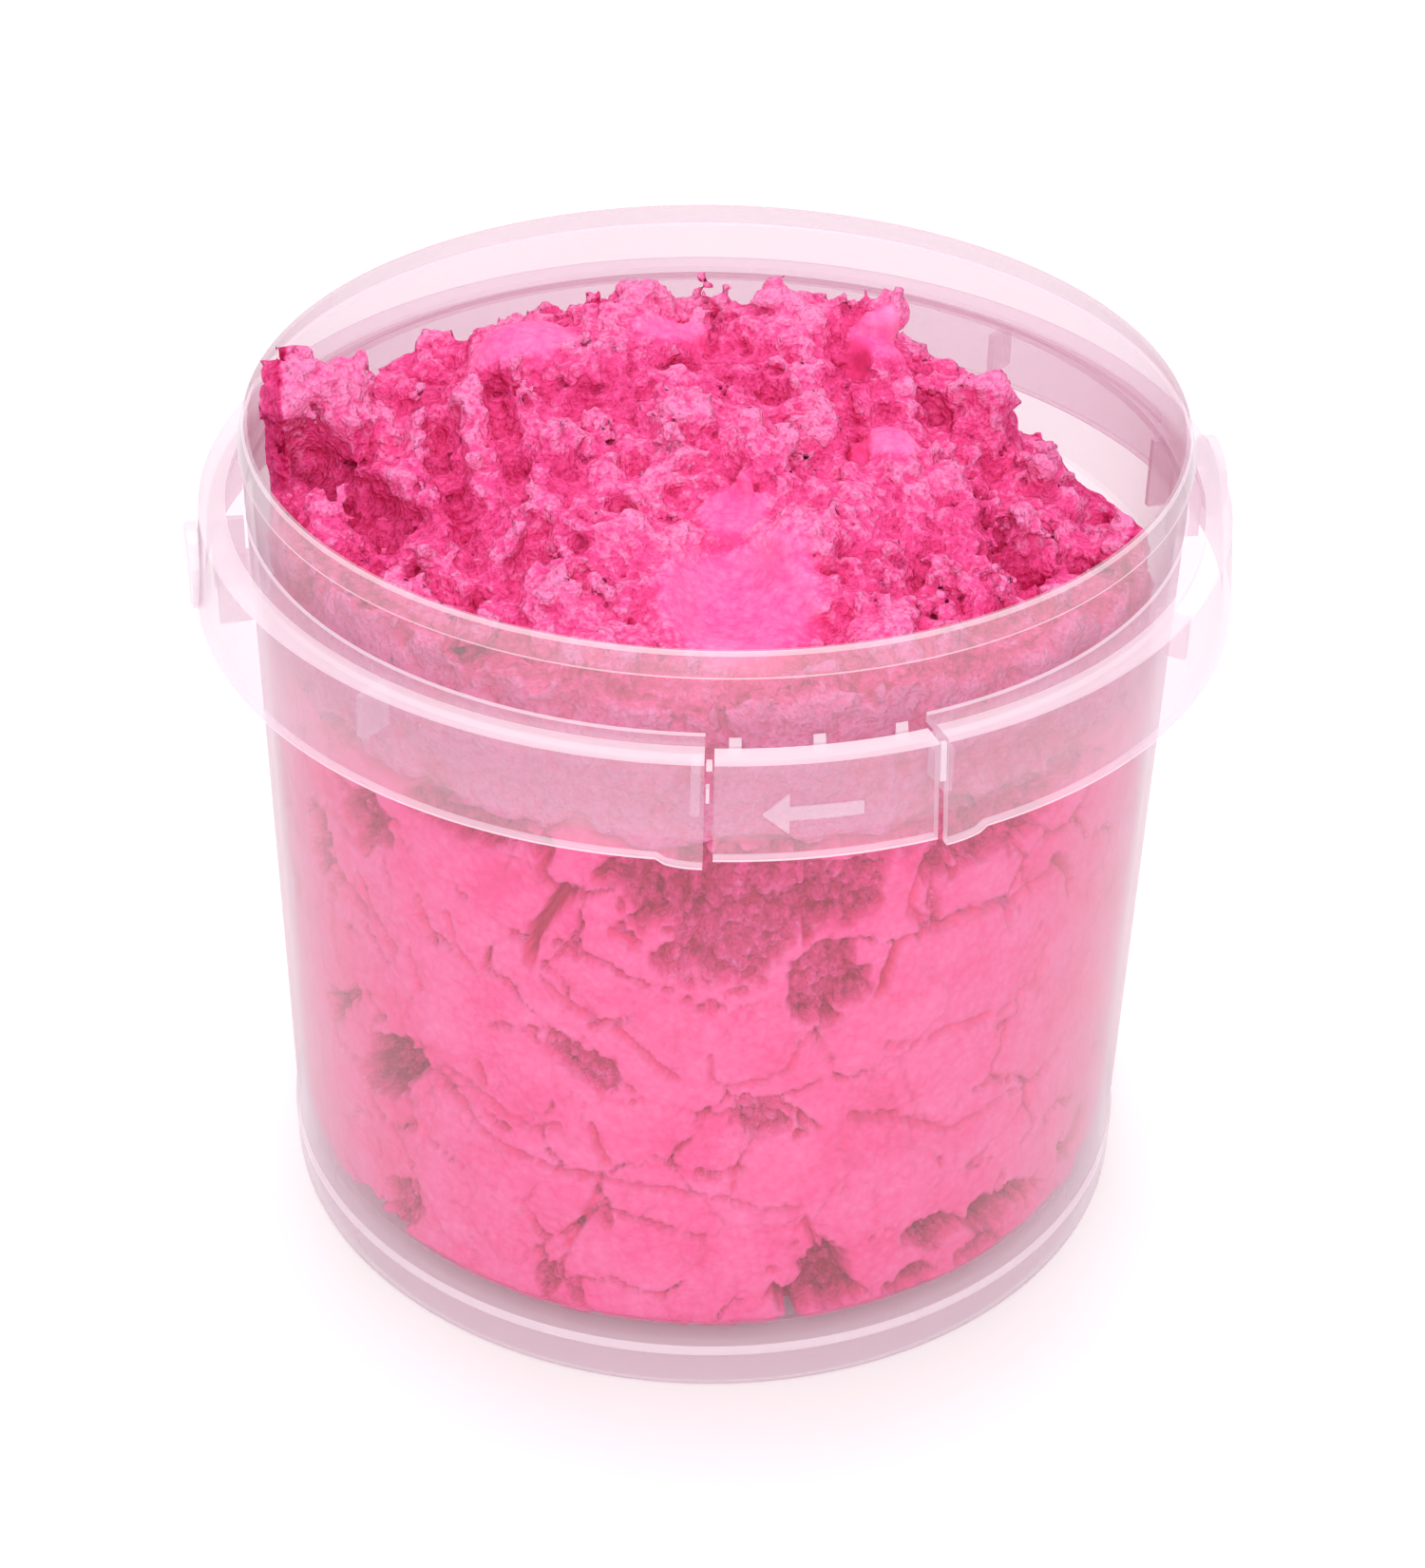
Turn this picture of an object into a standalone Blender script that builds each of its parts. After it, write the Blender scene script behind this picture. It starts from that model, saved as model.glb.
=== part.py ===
"""Translucent tub with a tamper collar, a tear tab and handle studs, filled with moulding sand.

Metres, +Z up. The origin is the centre of the foot on the ground, and the tear tab faces -Y.
Angles are in degrees about +Z, counted from the tab's middle and positive towards +X.
"""

import math

import bmesh
import bpy
from mathutils import Matrix, Vector

MM = 0.001
GAP = 0.3

# tub wall, radii and heights in millimetres
WALL_BOTTOM_Z = 7.9
WALL_BOTTOM_R = 57.9
WALL_WAIST_Z = 81.6
WALL_WAIST_R = 59.2
NECK_Z = 102.4
NECK_R = 59.57
LIP_UNDER_Z = 109.8
LIP_R = 60.1
RIM_Z = 113.1
RIM_R = 59.1
WALL_T = 1.0

# foot and floor
FOOT_R = 58.2
FOOT_STEP_Z = 6.2
FOOT_TOP_Z = 7.6
FOOT_INNER_R = 57.0
FLOOR_BOTTOM_Z = 6.2
FLOOR_TOP_Z = 7.4
FLOOR_R = FOOT_INNER_R - GAP

# collar
LEDGE_Z = 102.3
WEB_T = 1.0
STRIP_INNER_R = 62.2
STRIP_T = 2.0
COLLAR_R = 65.4
SKIRT_R = 66.5
SKIRT_Z = 89.6
SKIRT_T = 1.1
COLLAR_END_LEFT = -12.8
COLLAR_END_RIGHT = 12.0
LOBE_DROP = 1.1
LOBE_ANGLE = 4.4

# stiffeners under the collar
GUSSET_T = 1.0
GUSSET_BOTTOM_Z = 94.2
GUSSET_ANGLES = {"gusset_front_left": -51.6, "gusset_front_right": 51.6,
                 "gusset_back_left": -128.4, "gusset_back_right": 128.4}
END_GUSSET_ANGLES = {"gusset_end_left": COLLAR_END_LEFT - 0.9, "gusset_end_right": COLLAR_END_RIGHT + 0.9}
STUD_RIB_ANGLES = {"stud_rib_left_front": -86.0, "stud_rib_left_back": -94.0,
                   "stud_rib_right_front": 86.0, "stud_rib_right_back": 94.0}

# handle studs
STUD_R = 5.5
STUD_Z = 96.2
STUD_OUTER_X = 67.4

# tear tab
TAB_LEFT = -11.8
TAB_RIGHT = 10.95
PIN_TURN = -12.2
PIN_OFFSETS = {"tab_bridge_left": 2.75, "tab_bridge_middle": 12.25, "tab_bridge_right": 21.6}
PIN_W = 1.4
PIN_Z = (101.0, 102.3)

# sand
SAND_GAP = 0.35
SAND_MAX_R = 57.8
FILL_TOP_Z = 84.0

ROUND = 96
SAND_ROUND = 48


def clear_scene():
    for obj in list(bpy.data.objects):
        bpy.data.objects.remove(obj, do_unlink=True)


def material(name, colour, roughness, alpha=1.0):
    mat = bpy.data.materials.new(name)
    mat.use_nodes = True
    shader = mat.node_tree.nodes["Principled BSDF"]
    shader.inputs["Base Color"].default_value = (*colour, 1.0)
    shader.inputs["Roughness"].default_value = roughness
    shader.inputs["Alpha"].default_value = alpha
    mat.diffuse_color = (*colour, alpha)
    return mat


def plastic(name):
    return material(name + "_plastic", (0.93, 0.86, 0.88), 0.3, 0.6)


def sand_material(name):
    return material(name + "_sand", (0.95, 0.2, 0.48), 0.9)


def point(radius, angle, height):
    """Cylinder position in millimetres; the angle is counted from -Y towards +X."""
    a = math.radians(angle)
    return Vector((radius * math.sin(a), -radius * math.cos(a), height)) * MM


def finish_object(name, bm, mat, origin=(0.0, 0.0, 0.0)):
    bmesh.ops.recalc_face_normals(bm, faces=bm.faces)
    bmesh.ops.triangulate(bm, faces=bm.faces)
    bmesh.ops.translate(bm, verts=bm.verts, vec=-Vector(origin))
    mesh = bpy.data.meshes.new(name)
    bm.to_mesh(mesh)
    bm.free()
    mesh.materials.append(mat)
    obj = bpy.data.objects.new(name, mesh)
    obj.location = origin
    bpy.context.scene.collection.objects.link(obj)
    return obj


def loft(loops, closed):
    """Solid through equal loops of points; a closed loft returns to its first loop."""
    bm = bmesh.new()
    rings = [[bm.verts.new(p) for p in loop] for loop in loops]
    count = len(loops[0])
    pairs = list(zip(rings, rings[1:]))
    if closed:
        pairs.append((rings[-1], rings[0]))
    for first, second in pairs:
        for i in range(count):
            j = (i + 1) % count
            bm.faces.new((first[i], first[j], second[j], second[i]))
    if not closed:
        bm.faces.new(rings[0])
        bm.faces.new(list(reversed(rings[-1])))
    return bm


def full_ring(name, profile, mat):
    loops = []
    for i in range(ROUND):
        angle = 360.0 * i / ROUND
        loops.append([point(r, angle, z) for r, z in profile])
    return finish_object(name, loft(loops, True), mat)


def wall_outer(z):
    if z <= WALL_WAIST_Z:
        t = (z - WALL_BOTTOM_Z) / (WALL_WAIST_Z - WALL_BOTTOM_Z)
        return WALL_BOTTOM_R + t * (WALL_WAIST_R - WALL_BOTTOM_R)
    t = (z - WALL_WAIST_Z) / (NECK_Z - WALL_WAIST_Z)
    return WALL_WAIST_R + t * (NECK_R - WALL_WAIST_R)


def skirt_outer(z):
    t = (LEDGE_Z - z) / (LEDGE_Z - SKIRT_Z)
    return COLLAR_R + t * (SKIRT_R - COLLAR_R)


def make_wall():
    outer = [
        (WALL_BOTTOM_R, WALL_BOTTOM_Z),
        (WALL_WAIST_R, WALL_WAIST_Z),
        (NECK_R, NECK_Z),
        (NECK_R + 0.1, LIP_UNDER_Z),
        (LIP_R, LIP_UNDER_Z + 0.2),
        (LIP_R - 0.1, LIP_UNDER_Z + 0.9),
        (RIM_R + 0.35, RIM_Z - 0.5),
        (RIM_R, RIM_Z),
    ]
    inner = [
        (RIM_R - 0.35, RIM_Z),
        (RIM_R - 0.65, RIM_Z - 0.5),
        (NECK_R - WALL_T, NECK_Z),
        (WALL_WAIST_R - WALL_T, WALL_WAIST_Z),
        (WALL_BOTTOM_R - WALL_T, WALL_BOTTOM_Z),
    ]
    full_ring("pail_wall", outer + inner, plastic("pail_wall"))


def make_foot():
    profile = [
        (FOOT_R - 0.5, 0.0),
        (FOOT_R, 0.5),
        (FOOT_R + 0.1, FOOT_STEP_Z - 0.3),
        (WALL_BOTTOM_R, FOOT_STEP_Z),
        (WALL_BOTTOM_R, FOOT_TOP_Z),
        (FOOT_INNER_R, FOOT_TOP_Z),
        (FOOT_INNER_R, 0.4),
        (FOOT_INNER_R + 0.2, 0.0),
    ]
    full_ring("foot_ring", profile, plastic("foot_ring"))


def make_floor():
    loops = [
        [point(r, 360.0 * i / ROUND, z) for i in range(ROUND)]
        for r, z in (
            (FLOOR_R - 0.4, FLOOR_BOTTOM_Z),
            (FLOOR_R, FLOOR_BOTTOM_Z + 0.4),
            (FLOOR_R, FLOOR_TOP_Z - 0.3),
            (FLOOR_R - 0.3, FLOOR_TOP_Z),
        )
    ]
    finish_object("pail_floor", loft(loops, False), plastic("pail_floor"))


def collar_profile(bottom_z):
    """Web, thick strip and skirt as one outline."""
    inner_r = NECK_R + GAP
    bottom_r = skirt_outer(bottom_z)
    strip_under = LEDGE_Z - STRIP_T
    return [
        (inner_r, LEDGE_Z),
        (COLLAR_R - 0.3, LEDGE_Z),
        (COLLAR_R, LEDGE_Z - 0.3),
        (bottom_r, bottom_z + 0.3),
        (bottom_r - 0.3, bottom_z),
        (bottom_r - SKIRT_T, bottom_z),
        (skirt_outer(strip_under) - SKIRT_T, strip_under),
        (STRIP_INNER_R, strip_under),
        (STRIP_INNER_R, LEDGE_Z - WEB_T),
        (inner_r, LEDGE_Z - WEB_T),
    ]


def lobe_drop(angle):
    """The skirt hangs a little lower beside each of the collar's ends."""
    span = 360.0 + COLLAR_END_LEFT - COLLAR_END_RIGHT
    from_end = min(angle - COLLAR_END_RIGHT, COLLAR_END_RIGHT + span - angle)
    if from_end >= LOBE_ANGLE:
        return 0.0
    return LOBE_DROP * math.sqrt(1.0 - (from_end / LOBE_ANGLE) ** 2)


def make_collar():
    span = 360.0 + COLLAR_END_LEFT - COLLAR_END_RIGHT
    fine = [0.0, 0.8, 1.6, 2.4, 3.2, 4.0, 4.4]
    steps = 80
    middle = [4.4 + (span - 8.8) * i / steps for i in range(1, steps)]
    offsets = fine + middle + [span - v for v in reversed(fine)]
    loops = []
    for offset in offsets:
        angle = COLLAR_END_RIGHT + offset
        profile = collar_profile(SKIRT_Z - lobe_drop(angle))
        loops.append([point(r, angle, z) for r, z in profile])
    finish_object("collar_ring", loft(loops, False), plastic("collar_ring"))


def radial_plate(name, angle, top_z, bottom_z, thickness):
    """Flat upright plate between the wall and the skirt, clear of both."""
    turn = Matrix.Rotation(math.radians(angle), 4, "Z")
    clear = GAP + 0.06
    half = thickness / 2
    corners = [
        (wall_outer(top_z) + clear, top_z),
        (skirt_outer(top_z) - SKIRT_T - clear, top_z),
        (skirt_outer(top_z) - SKIRT_T - clear, bottom_z),
        (wall_outer(top_z) + clear, bottom_z),
    ]
    loops = []
    for side in (-half, half):
        loops.append([turn @ (Vector((side, -r, z)) * MM) for r, z in corners])
    finish_object(name, loft(loops, False), plastic(name))


def make_stiffeners():
    top = LEDGE_Z - STRIP_T - GAP
    for name, angle in GUSSET_ANGLES.items():
        radial_plate(name, angle, top, GUSSET_BOTTOM_Z, GUSSET_T)
    for name, angle in END_GUSSET_ANGLES.items():
        radial_plate(name, angle, top, GUSSET_BOTTOM_Z, GUSSET_T)
    for name, angle in STUD_RIB_ANGLES.items():
        radial_plate(name, angle, top, SKIRT_Z + 0.6, GUSSET_T)


def stud_disc(name, side):
    """Round head on the skirt that a handle snaps over; its back leans with the skirt."""
    loops = []
    for x, r in ((None, STUD_R), (STUD_OUTER_X - 0.3, STUD_R), (STUD_OUTER_X, STUD_R - 0.6)):
        loop = []
        for i in range(32):
            a = 2.0 * math.pi * i / 32
            z = STUD_Z + r * math.sin(a)
            out = skirt_outer(z) + GAP if x is None else x
            loop.append(Vector((side * out, r * math.cos(a), z)) * MM)
        loops.append(loop)
    finish_object(name, loft(loops, False), plastic(name))


def tab_profile():
    strip_under = LEDGE_Z - STRIP_T
    return [
        (STRIP_INNER_R, LEDGE_Z),
        (COLLAR_R - 0.3, LEDGE_Z),
        (COLLAR_R, LEDGE_Z - 0.3),
        (SKIRT_R, SKIRT_Z + 0.3),
        (SKIRT_R - 0.3, SKIRT_Z),
        (SKIRT_R - SKIRT_T, SKIRT_Z),
        (skirt_outer(strip_under) - SKIRT_T, strip_under),
        (STRIP_INNER_R, strip_under),
    ]


def tab_axis():
    """The film hinge lies on the skirt's outer face at the tab's right edge."""
    return point(SKIRT_R, TAB_RIGHT, 0.0) + Vector((0.0, 0.0, LEDGE_Z * MM))


def make_tab():
    steps = 14
    loops = []
    for i in range(steps + 1):
        angle = TAB_LEFT + (TAB_RIGHT - TAB_LEFT) * i / steps
        loops.append([point(r, angle, z) for r, z in tab_profile()])
    finish_object("tear_tab", loft(loops, False), plastic("tear_tab"), tab_axis())


def make_bridges():
    """Three breakable bridges run from the tab's strip to the neck, all the same way."""
    turn = Matrix.Rotation(math.radians(PIN_TURN), 4, "Z")
    for name, offset in PIN_OFFSETS.items():
        loops = []
        for side in (-PIN_W / 2, PIN_W / 2):
            x = offset + side
            far_y = math.sqrt((STRIP_INNER_R - GAP) ** 2 - x * x)
            near_y = math.sqrt((NECK_R + 2 * GAP) ** 2 - x * x)
            z0, z1 = PIN_Z
            outline = [(far_y, z0), (far_y, z1), (near_y, z1), (near_y, z0)]
            loops.append([turn_point(turn, x, -y, z) for y, z in outline])
        finish_object(name, loft(loops, False), plastic(name), tab_axis())


def turn_point(turn, x, y, z):
    return turn @ (Vector((x, y, z)) * MM)


def arc_block(name, angles, radii, heights, mat, origin=(0.0, 0.0, 0.0)):
    """Small curved block between two angles; radii is a function of height."""
    z0, z1 = heights
    steps = max(1, int(abs(angles[1] - angles[0]) / 1.5))
    loops = []
    for i in range(steps + 1):
        angle = angles[0] + (angles[1] - angles[0]) * i / steps
        outline = [(radii(z0)[0], z0), (radii(z1)[0], z1), (radii(z1)[1], z1), (radii(z0)[1], z0)]
        loops.append([point(r, angle, z) for r, z in outline])
    return finish_object(name, loft(loops, False), mat, origin)


def make_links():
    """Thin break link and nib at the tab's left edge, and the film hinge at its right edge."""
    clear = 0.2
    left = (COLLAR_END_LEFT + clear, TAB_LEFT - clear)
    right = (TAB_RIGHT + clear, COLLAR_END_RIGHT - clear)

    def link_radii(z):
        return (skirt_outer(z) - SKIRT_T, skirt_outer(z) - 0.15)

    def film_radii(z):
        return (skirt_outer(z) - 0.55, skirt_outer(z) - 0.05)

    arc_block("break_link", left, link_radii, (101.2, 102.1), plastic("break_link"))
    arc_block("break_nib", (left[0], left[0] + 0.35), link_radii, (97.1, 99.0), plastic("break_nib"))
    arc_block("film_hinge", right, film_radii, (97.1, 102.0), plastic("film_hinge"))


def arrow_columns():
    """Plain arrow as (angle, low, high) columns, pointing at the tab's free edge."""
    shaft = [(3.0 - 1.48 * i, 95.1, 96.7) for i in range(6)]
    head = [(-4.45 - 0.63 * i, 93.4 + 0.61 * i, 98.4 - 0.61 * i) for i in range(5)]
    return shaft + head


def make_arrow():
    loops = []
    for angle, low, high in arrow_columns():
        outline = [(0.12, low), (0.12, high), (0.45, high), (0.45, low)]
        loops.append([point(skirt_outer(z) + lift, angle, z) for lift, z in outline])
    finish_object("tab_arrow", loft(loops, False), plastic("tab_arrow"), tab_axis())


def sand_radius(z):
    return min(SAND_MAX_R, wall_outer(z) - WALL_T - SAND_GAP)


def make_sand_fill():
    levels = [FLOOR_TOP_Z + GAP, 9.0, 30.0, 60.0, FILL_TOP_Z]
    loops = []
    for z in levels:
        r = sand_radius(max(z, WALL_BOTTOM_Z)) - (0.6 if z == levels[0] else 0.0)
        loops.append([point(r, 360.0 * i / SAND_ROUND, z) for i in range(SAND_ROUND)])
    finish_object("sand_fill", loft(loops, False), sand_material("sand_fill"))


def bump(x, y, cx, cy, spread):
    return math.exp(-((x - cx) ** 2 + (y - cy) ** 2) / (2.0 * spread * spread))


def smooth_step(low, high, value):
    t = min(1.0, max(0.0, (value - low) / (high - low)))
    return t * t * (3.0 - 2.0 * t)


def sand_height(x, y):
    """Heap surface: level at the front, highest behind the middle, and low along the back wall."""
    back = smooth_step(20.0, 47.0, y + 0.12 * x)
    front = 106.0 + 12.5 * bump(x, y, 4.0, 8.0, 24.0) + 2.0 * bump(x, y, 0.0, -45.0, 25.0)
    height = front * (1.0 - back) + 88.0 * back
    height -= 5.0 * bump(x, y, -50.0, 12.0, 10.0)
    height -= 4.0 * bump(x, y, 46.0, -27.0, 8.0)
    height += 0.8 * math.sin(0.21 * x + 0.4) * math.cos(0.17 * y)
    return height


def make_sand_heap():
    base_z = FILL_TOP_Z + GAP
    rings = [1.0, 0.93, 0.83, 0.72, 0.6, 0.48, 0.36, 0.24, 0.12]
    bm = bmesh.new()
    bottom = []
    grid = []
    for i in range(SAND_ROUND):
        bottom.append(bm.verts.new(point(sand_radius(base_z), 360.0 * i / SAND_ROUND, base_z)))
    for share in rings:
        loop = []
        for i in range(SAND_ROUND):
            flat = point(SAND_MAX_R * share, 360.0 * i / SAND_ROUND, 0.0) / MM
            top = sand_height(flat.x, flat.y)
            if share == 1.0:
                top = top - 1.0
            loop.append(bm.verts.new(Vector((flat.x, flat.y, top)) * MM))
        grid.append(loop)
    centre = bm.verts.new(Vector((0.0, 0.0, sand_height(0.0, 0.0))) * MM)
    loops = [bottom] + grid
    for first, second in zip(loops, loops[1:]):
        for i in range(SAND_ROUND):
            j = (i + 1) % SAND_ROUND
            bm.faces.new((first[i], first[j], second[j], second[i]))
    for i in range(SAND_ROUND):
        bm.faces.new((grid[-1][i], grid[-1][(i + 1) % SAND_ROUND], centre))
    bm.faces.new(list(reversed(bottom)))
    finish_object("sand_heap", bm, sand_material("sand_heap"))


def sand_clump(name, centre, size, turn):
    """Loose lump set down just clear of the heap's surface."""
    bm = bmesh.new()
    bmesh.ops.create_icosphere(bm, subdivisions=2, radius=1.0)
    for vert in bm.verts:
        p = vert.co
        swell = 1.0 + 0.1 * math.sin(5.0 * p.x + 2.0 * p.y) * math.cos(4.0 * p.z + 1.0)
        vert.co = Vector((p.x * size[0], p.y * size[1], p.z * size[2])) * swell
    spin = Matrix.Rotation(math.radians(turn), 4, "Z")
    bmesh.ops.transform(bm, matrix=Matrix.Translation((*centre, 0.0)) @ spin, verts=bm.verts)
    lift = max(sand_height(v.co.x, v.co.y) + 2.0 * GAP - v.co.z for v in bm.verts)
    for vert in bm.verts:
        vert.co = (vert.co + Vector((0.0, 0.0, lift))) * MM
    finish_object(name, bm, sand_material(name))


def make_sand_clumps():
    sand_clump("sand_clump_left", (-46.8, 12.0), (9.0, 7.5, 6.0), 8.0)
    sand_clump("sand_clump_right", (43.0, -26.5), (4.5, 4.5, 4.0), 20.0)
    sand_clump("sand_clump_top", (31.0, 2.0), (4.8, 4.0, 3.3), -15.0)


def build():
    clear_scene()
    make_wall()
    make_foot()
    make_floor()
    make_collar()
    make_stiffeners()
    stud_disc("handle_stud_left", -1.0)
    stud_disc("handle_stud_right", 1.0)
    make_tab()
    make_bridges()
    make_links()
    make_arrow()
    make_sand_fill()
    make_sand_heap()
    make_sand_clumps()


build()
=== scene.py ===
"""Looks for the sand tub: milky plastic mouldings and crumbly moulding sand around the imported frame."""

import itertools
import math

import bmesh
import bpy
import numpy as np
from mathutils import Matrix, Vector


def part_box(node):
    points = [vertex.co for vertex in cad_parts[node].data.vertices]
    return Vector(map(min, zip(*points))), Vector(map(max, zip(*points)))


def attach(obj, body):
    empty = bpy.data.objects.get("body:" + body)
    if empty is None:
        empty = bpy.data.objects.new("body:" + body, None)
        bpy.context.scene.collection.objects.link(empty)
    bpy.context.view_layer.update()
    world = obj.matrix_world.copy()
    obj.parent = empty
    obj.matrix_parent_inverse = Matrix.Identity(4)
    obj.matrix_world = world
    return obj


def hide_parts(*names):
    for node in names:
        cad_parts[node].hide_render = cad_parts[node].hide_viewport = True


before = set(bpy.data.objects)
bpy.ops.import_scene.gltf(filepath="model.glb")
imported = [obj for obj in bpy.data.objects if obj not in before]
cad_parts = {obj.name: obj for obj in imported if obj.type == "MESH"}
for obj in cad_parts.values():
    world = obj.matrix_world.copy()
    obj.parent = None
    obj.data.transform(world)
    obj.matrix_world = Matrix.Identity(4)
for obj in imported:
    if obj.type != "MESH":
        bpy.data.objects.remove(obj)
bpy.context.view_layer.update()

MM = 0.001
VIEW_TURN = math.radians(-12.2)   # the camera's heading, counted from the tear tab

# heights and radii in millimetres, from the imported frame
RIM_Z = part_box("pail_wall")[1].z / MM
FOOT_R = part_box("foot_ring")[1].x / MM
FLOOR_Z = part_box("pail_floor")[1].z / MM
LEDGE_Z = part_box("collar_ring")[1].z / MM
SKIRT_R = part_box("collar_ring")[1].x / MM
SKIRT_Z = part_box("tear_tab")[0].z / MM

# sizes in millimetres that the boxes do not hold
WALL_R_LOW, WALL_Z_LOW = 57.9, 7.9
WALL_R_WAIST, WALL_Z_WAIST = 59.2, 81.6
NECK_R = 59.57
NECK_Z = SKIRT_Z - 2.0      # the neck's milkier plastic starts here, just below the skirt
LIP_Z = 110.0               # underside of the lip
LIP_EDGE_Z = 112.55         # the top edge of the lip, with its painted highlight line, starts here
FOOT_TOP_Z = 5.4            # the outside of the foot is straight up to here
WALL_T = 1.0
FLOOR_T = 1.2
COLLAR_R = 65.4
STRIP_R = 62.2              # the flat strip on top of the collar runs from here outwards
STRIP_UNDER = LEDGE_Z - 2.0
SKIRT_T = 1.1
EDGE_H = 0.34               # height of the painted highlight line along the lower edge of the skirt

# ends of the collar and of the tab, in degrees from the middle of the tab
COLLAR_END_LEFT, COLLAR_END_RIGHT = -12.8, 12.0
TAB_LEFT, TAB_RIGHT = -11.8, 10.95


def wall_outer(z):
    """The wall's outer radius at a height: one taper up to the waist, a slower one up to the neck."""
    low = WALL_R_LOW + (z - WALL_Z_LOW) / (WALL_Z_WAIST - WALL_Z_LOW) * (WALL_R_WAIST - WALL_R_LOW)
    high = WALL_R_WAIST + (z - WALL_Z_WAIST) / (LEDGE_Z - WALL_Z_WAIST) * (NECK_R - WALL_R_WAIST)
    return np.where(z < WALL_Z_WAIST, low, np.minimum(high, NECK_R))


def inner_radius(z):
    return wall_outer(z) - WALL_T


def skirt_outer(z):
    return COLLAR_R + (LEDGE_Z - z) / (LEDGE_Z - SKIRT_Z) * (SKIRT_R - COLLAR_R)


def spin(x, y, angle):
    """A point seen in axes that are turned by an angle in radians."""
    c, s = math.cos(angle), math.sin(angle)
    return x * c + y * s, y * c - x * s


def from_view(x, y):
    """The place in the frame of a point given as (right, away) of the camera's heading."""
    return spin(x, y, -VIEW_TURN)


# -------------------------------- mouldings: meshes

SHARP_ANGLE = math.radians(32.0)
LATHE_SEGMENTS = 240


def polar(radius, degrees, z):
    """A point in millimetres, with the angle counted from -Y towards +X."""
    a = math.radians(degrees)
    return (radius * math.sin(a), -radius * math.cos(a), z)


def add_object(name, mesh):
    obj = bpy.data.objects.new(name, mesh)
    bpy.context.scene.collection.objects.link(obj)
    return obj


def moulding(name, verts, faces, mats, kinds):
    """A smooth-shaded object with sharp corners; kinds holds each face's material index."""
    mesh = bpy.data.meshes.new(name)
    mesh.from_pydata([tuple(c * MM for c in v) for v in verts], [], faces)
    mesh.update()
    bm = bmesh.new()
    bm.from_mesh(mesh)
    bmesh.ops.recalc_face_normals(bm, faces=bm.faces)
    bm.to_mesh(mesh)
    bm.free()
    for mat in mats:
        mesh.materials.append(mat)
    mesh.polygons.foreach_set("material_index", kinds)
    mesh.polygons.foreach_set("use_smooth", [True] * len(mesh.polygons))
    mesh.set_sharp_from_angle(angle=SHARP_ANGLE)
    return add_object(name, mesh)


def rounded(corners, steps):
    """A closed outline of (r, z) with its corners filleted; each corner is (r, z, fillet radius)."""
    out = []
    for i, (r, z, fillet) in enumerate(corners):
        here = Vector((r, z))
        if fillet <= 0.0:
            out.append((r, z))
            continue
        back = Vector(corners[i - 1][:2]) - here
        ahead = Vector(corners[(i + 1) % len(corners)][:2]) - here
        cut = min(fillet / math.tan(back.angle(ahead) / 2), 0.48 * back.length, 0.48 * ahead.length)
        first = here + back.normalized() * cut
        last = here + ahead.normalized() * cut
        for k in range(steps + 1):
            t = k / steps
            p = first * (1 - t) ** 2 + here * 2 * t * (1 - t) + last * t * t
            out.append((p.x, p.y))
    return out


def band(count, a, b):
    """Quads between two rings of equal size, whose first points are a and b."""
    return [(a + j, a + (j + 1) % count, b + (j + 1) % count, b + j) for j in range(count)]


def band_kinds(outline, zone):
    """The material index of each quad along an outline, by the middle of its side."""
    ahead = outline[1:] + outline[:1]
    return [zone((r0 + r1) / 2, (z0 + z1) / 2) for (r0, z0), (r1, z1) in zip(outline, ahead)]


def lathe(name, outline, mats, zone):
    """A closed outline turned all the way round."""
    count = len(outline)
    verts, faces = [], []
    for i in range(LATHE_SEGMENTS):
        verts += [polar(r, 360.0 * i / LATHE_SEGMENTS, z) for r, z in outline]
        faces += band(count, i * count, (i + 1) % LATHE_SEGMENTS * count)
    return moulding(name, verts, faces, mats, band_kinds(outline, zone) * LATHE_SEGMENTS)


def sweep(name, outlines, angles, mats, zone, end_kind):
    """Equal outlines, each at its own angle, joined in a row with flat ends."""
    count = len(outlines[0])
    verts, faces, kinds = [], [], []
    for outline, angle in zip(outlines, angles):
        verts += [polar(r, angle, z) for r, z in outline]
    for i, outline in enumerate(outlines[:-1]):
        low = min(z for r, z in outline)
        faces += band(count, i * count, (i + 1) * count)
        kinds += band_kinds(outline, lambda r, z: zone(r, z, low))
    faces.append(tuple(range(count)))
    faces.append(tuple(reversed(range(len(verts) - count, len(verts)))))
    return moulding(name, verts, faces, mats, kinds + [end_kind, end_kind])


# -------------------------------- node helpers

def node(tree, kind, **settings):
    made = tree.nodes.new(kind)
    for key, value in settings.items():
        setattr(made, key, value)
    return made


def feed(tree, socket, value):
    """Gives a socket a plain value, or links another node's output to it."""
    if isinstance(value, bpy.types.NodeSocket):
        tree.links.new(value, socket)
    else:
        socket.default_value = value


def feed_all(tree, made, **values):
    for key, value in values.items():
        feed(tree, made.inputs[key.replace("_", " ")], value)


def calc(tree, operation, *operands):
    made = node(tree, "ShaderNodeMath", operation=operation)
    for socket, value in zip(made.inputs, operands):
        feed(tree, socket, value)
    return made.outputs[0]


def noise(tree, place, scale, detail=2.0):
    made = node(tree, "ShaderNodeTexNoise")
    feed_all(tree, made, Vector=place, Scale=scale, Detail=detail)
    return made.outputs


def mapped(tree, value, to_min, to_max, from_min=0.0, from_max=1.0):
    made = node(tree, "ShaderNodeMapRange")
    feed_all(tree, made, Value=value, From_Min=from_min, From_Max=from_max, To_Min=to_min, To_Max=to_max)
    return made.outputs["Result"]


def object_place(tree):
    return node(tree, "ShaderNodeTexCoord").outputs["Object"]


# -------------------------------- mouldings: plastic

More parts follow.
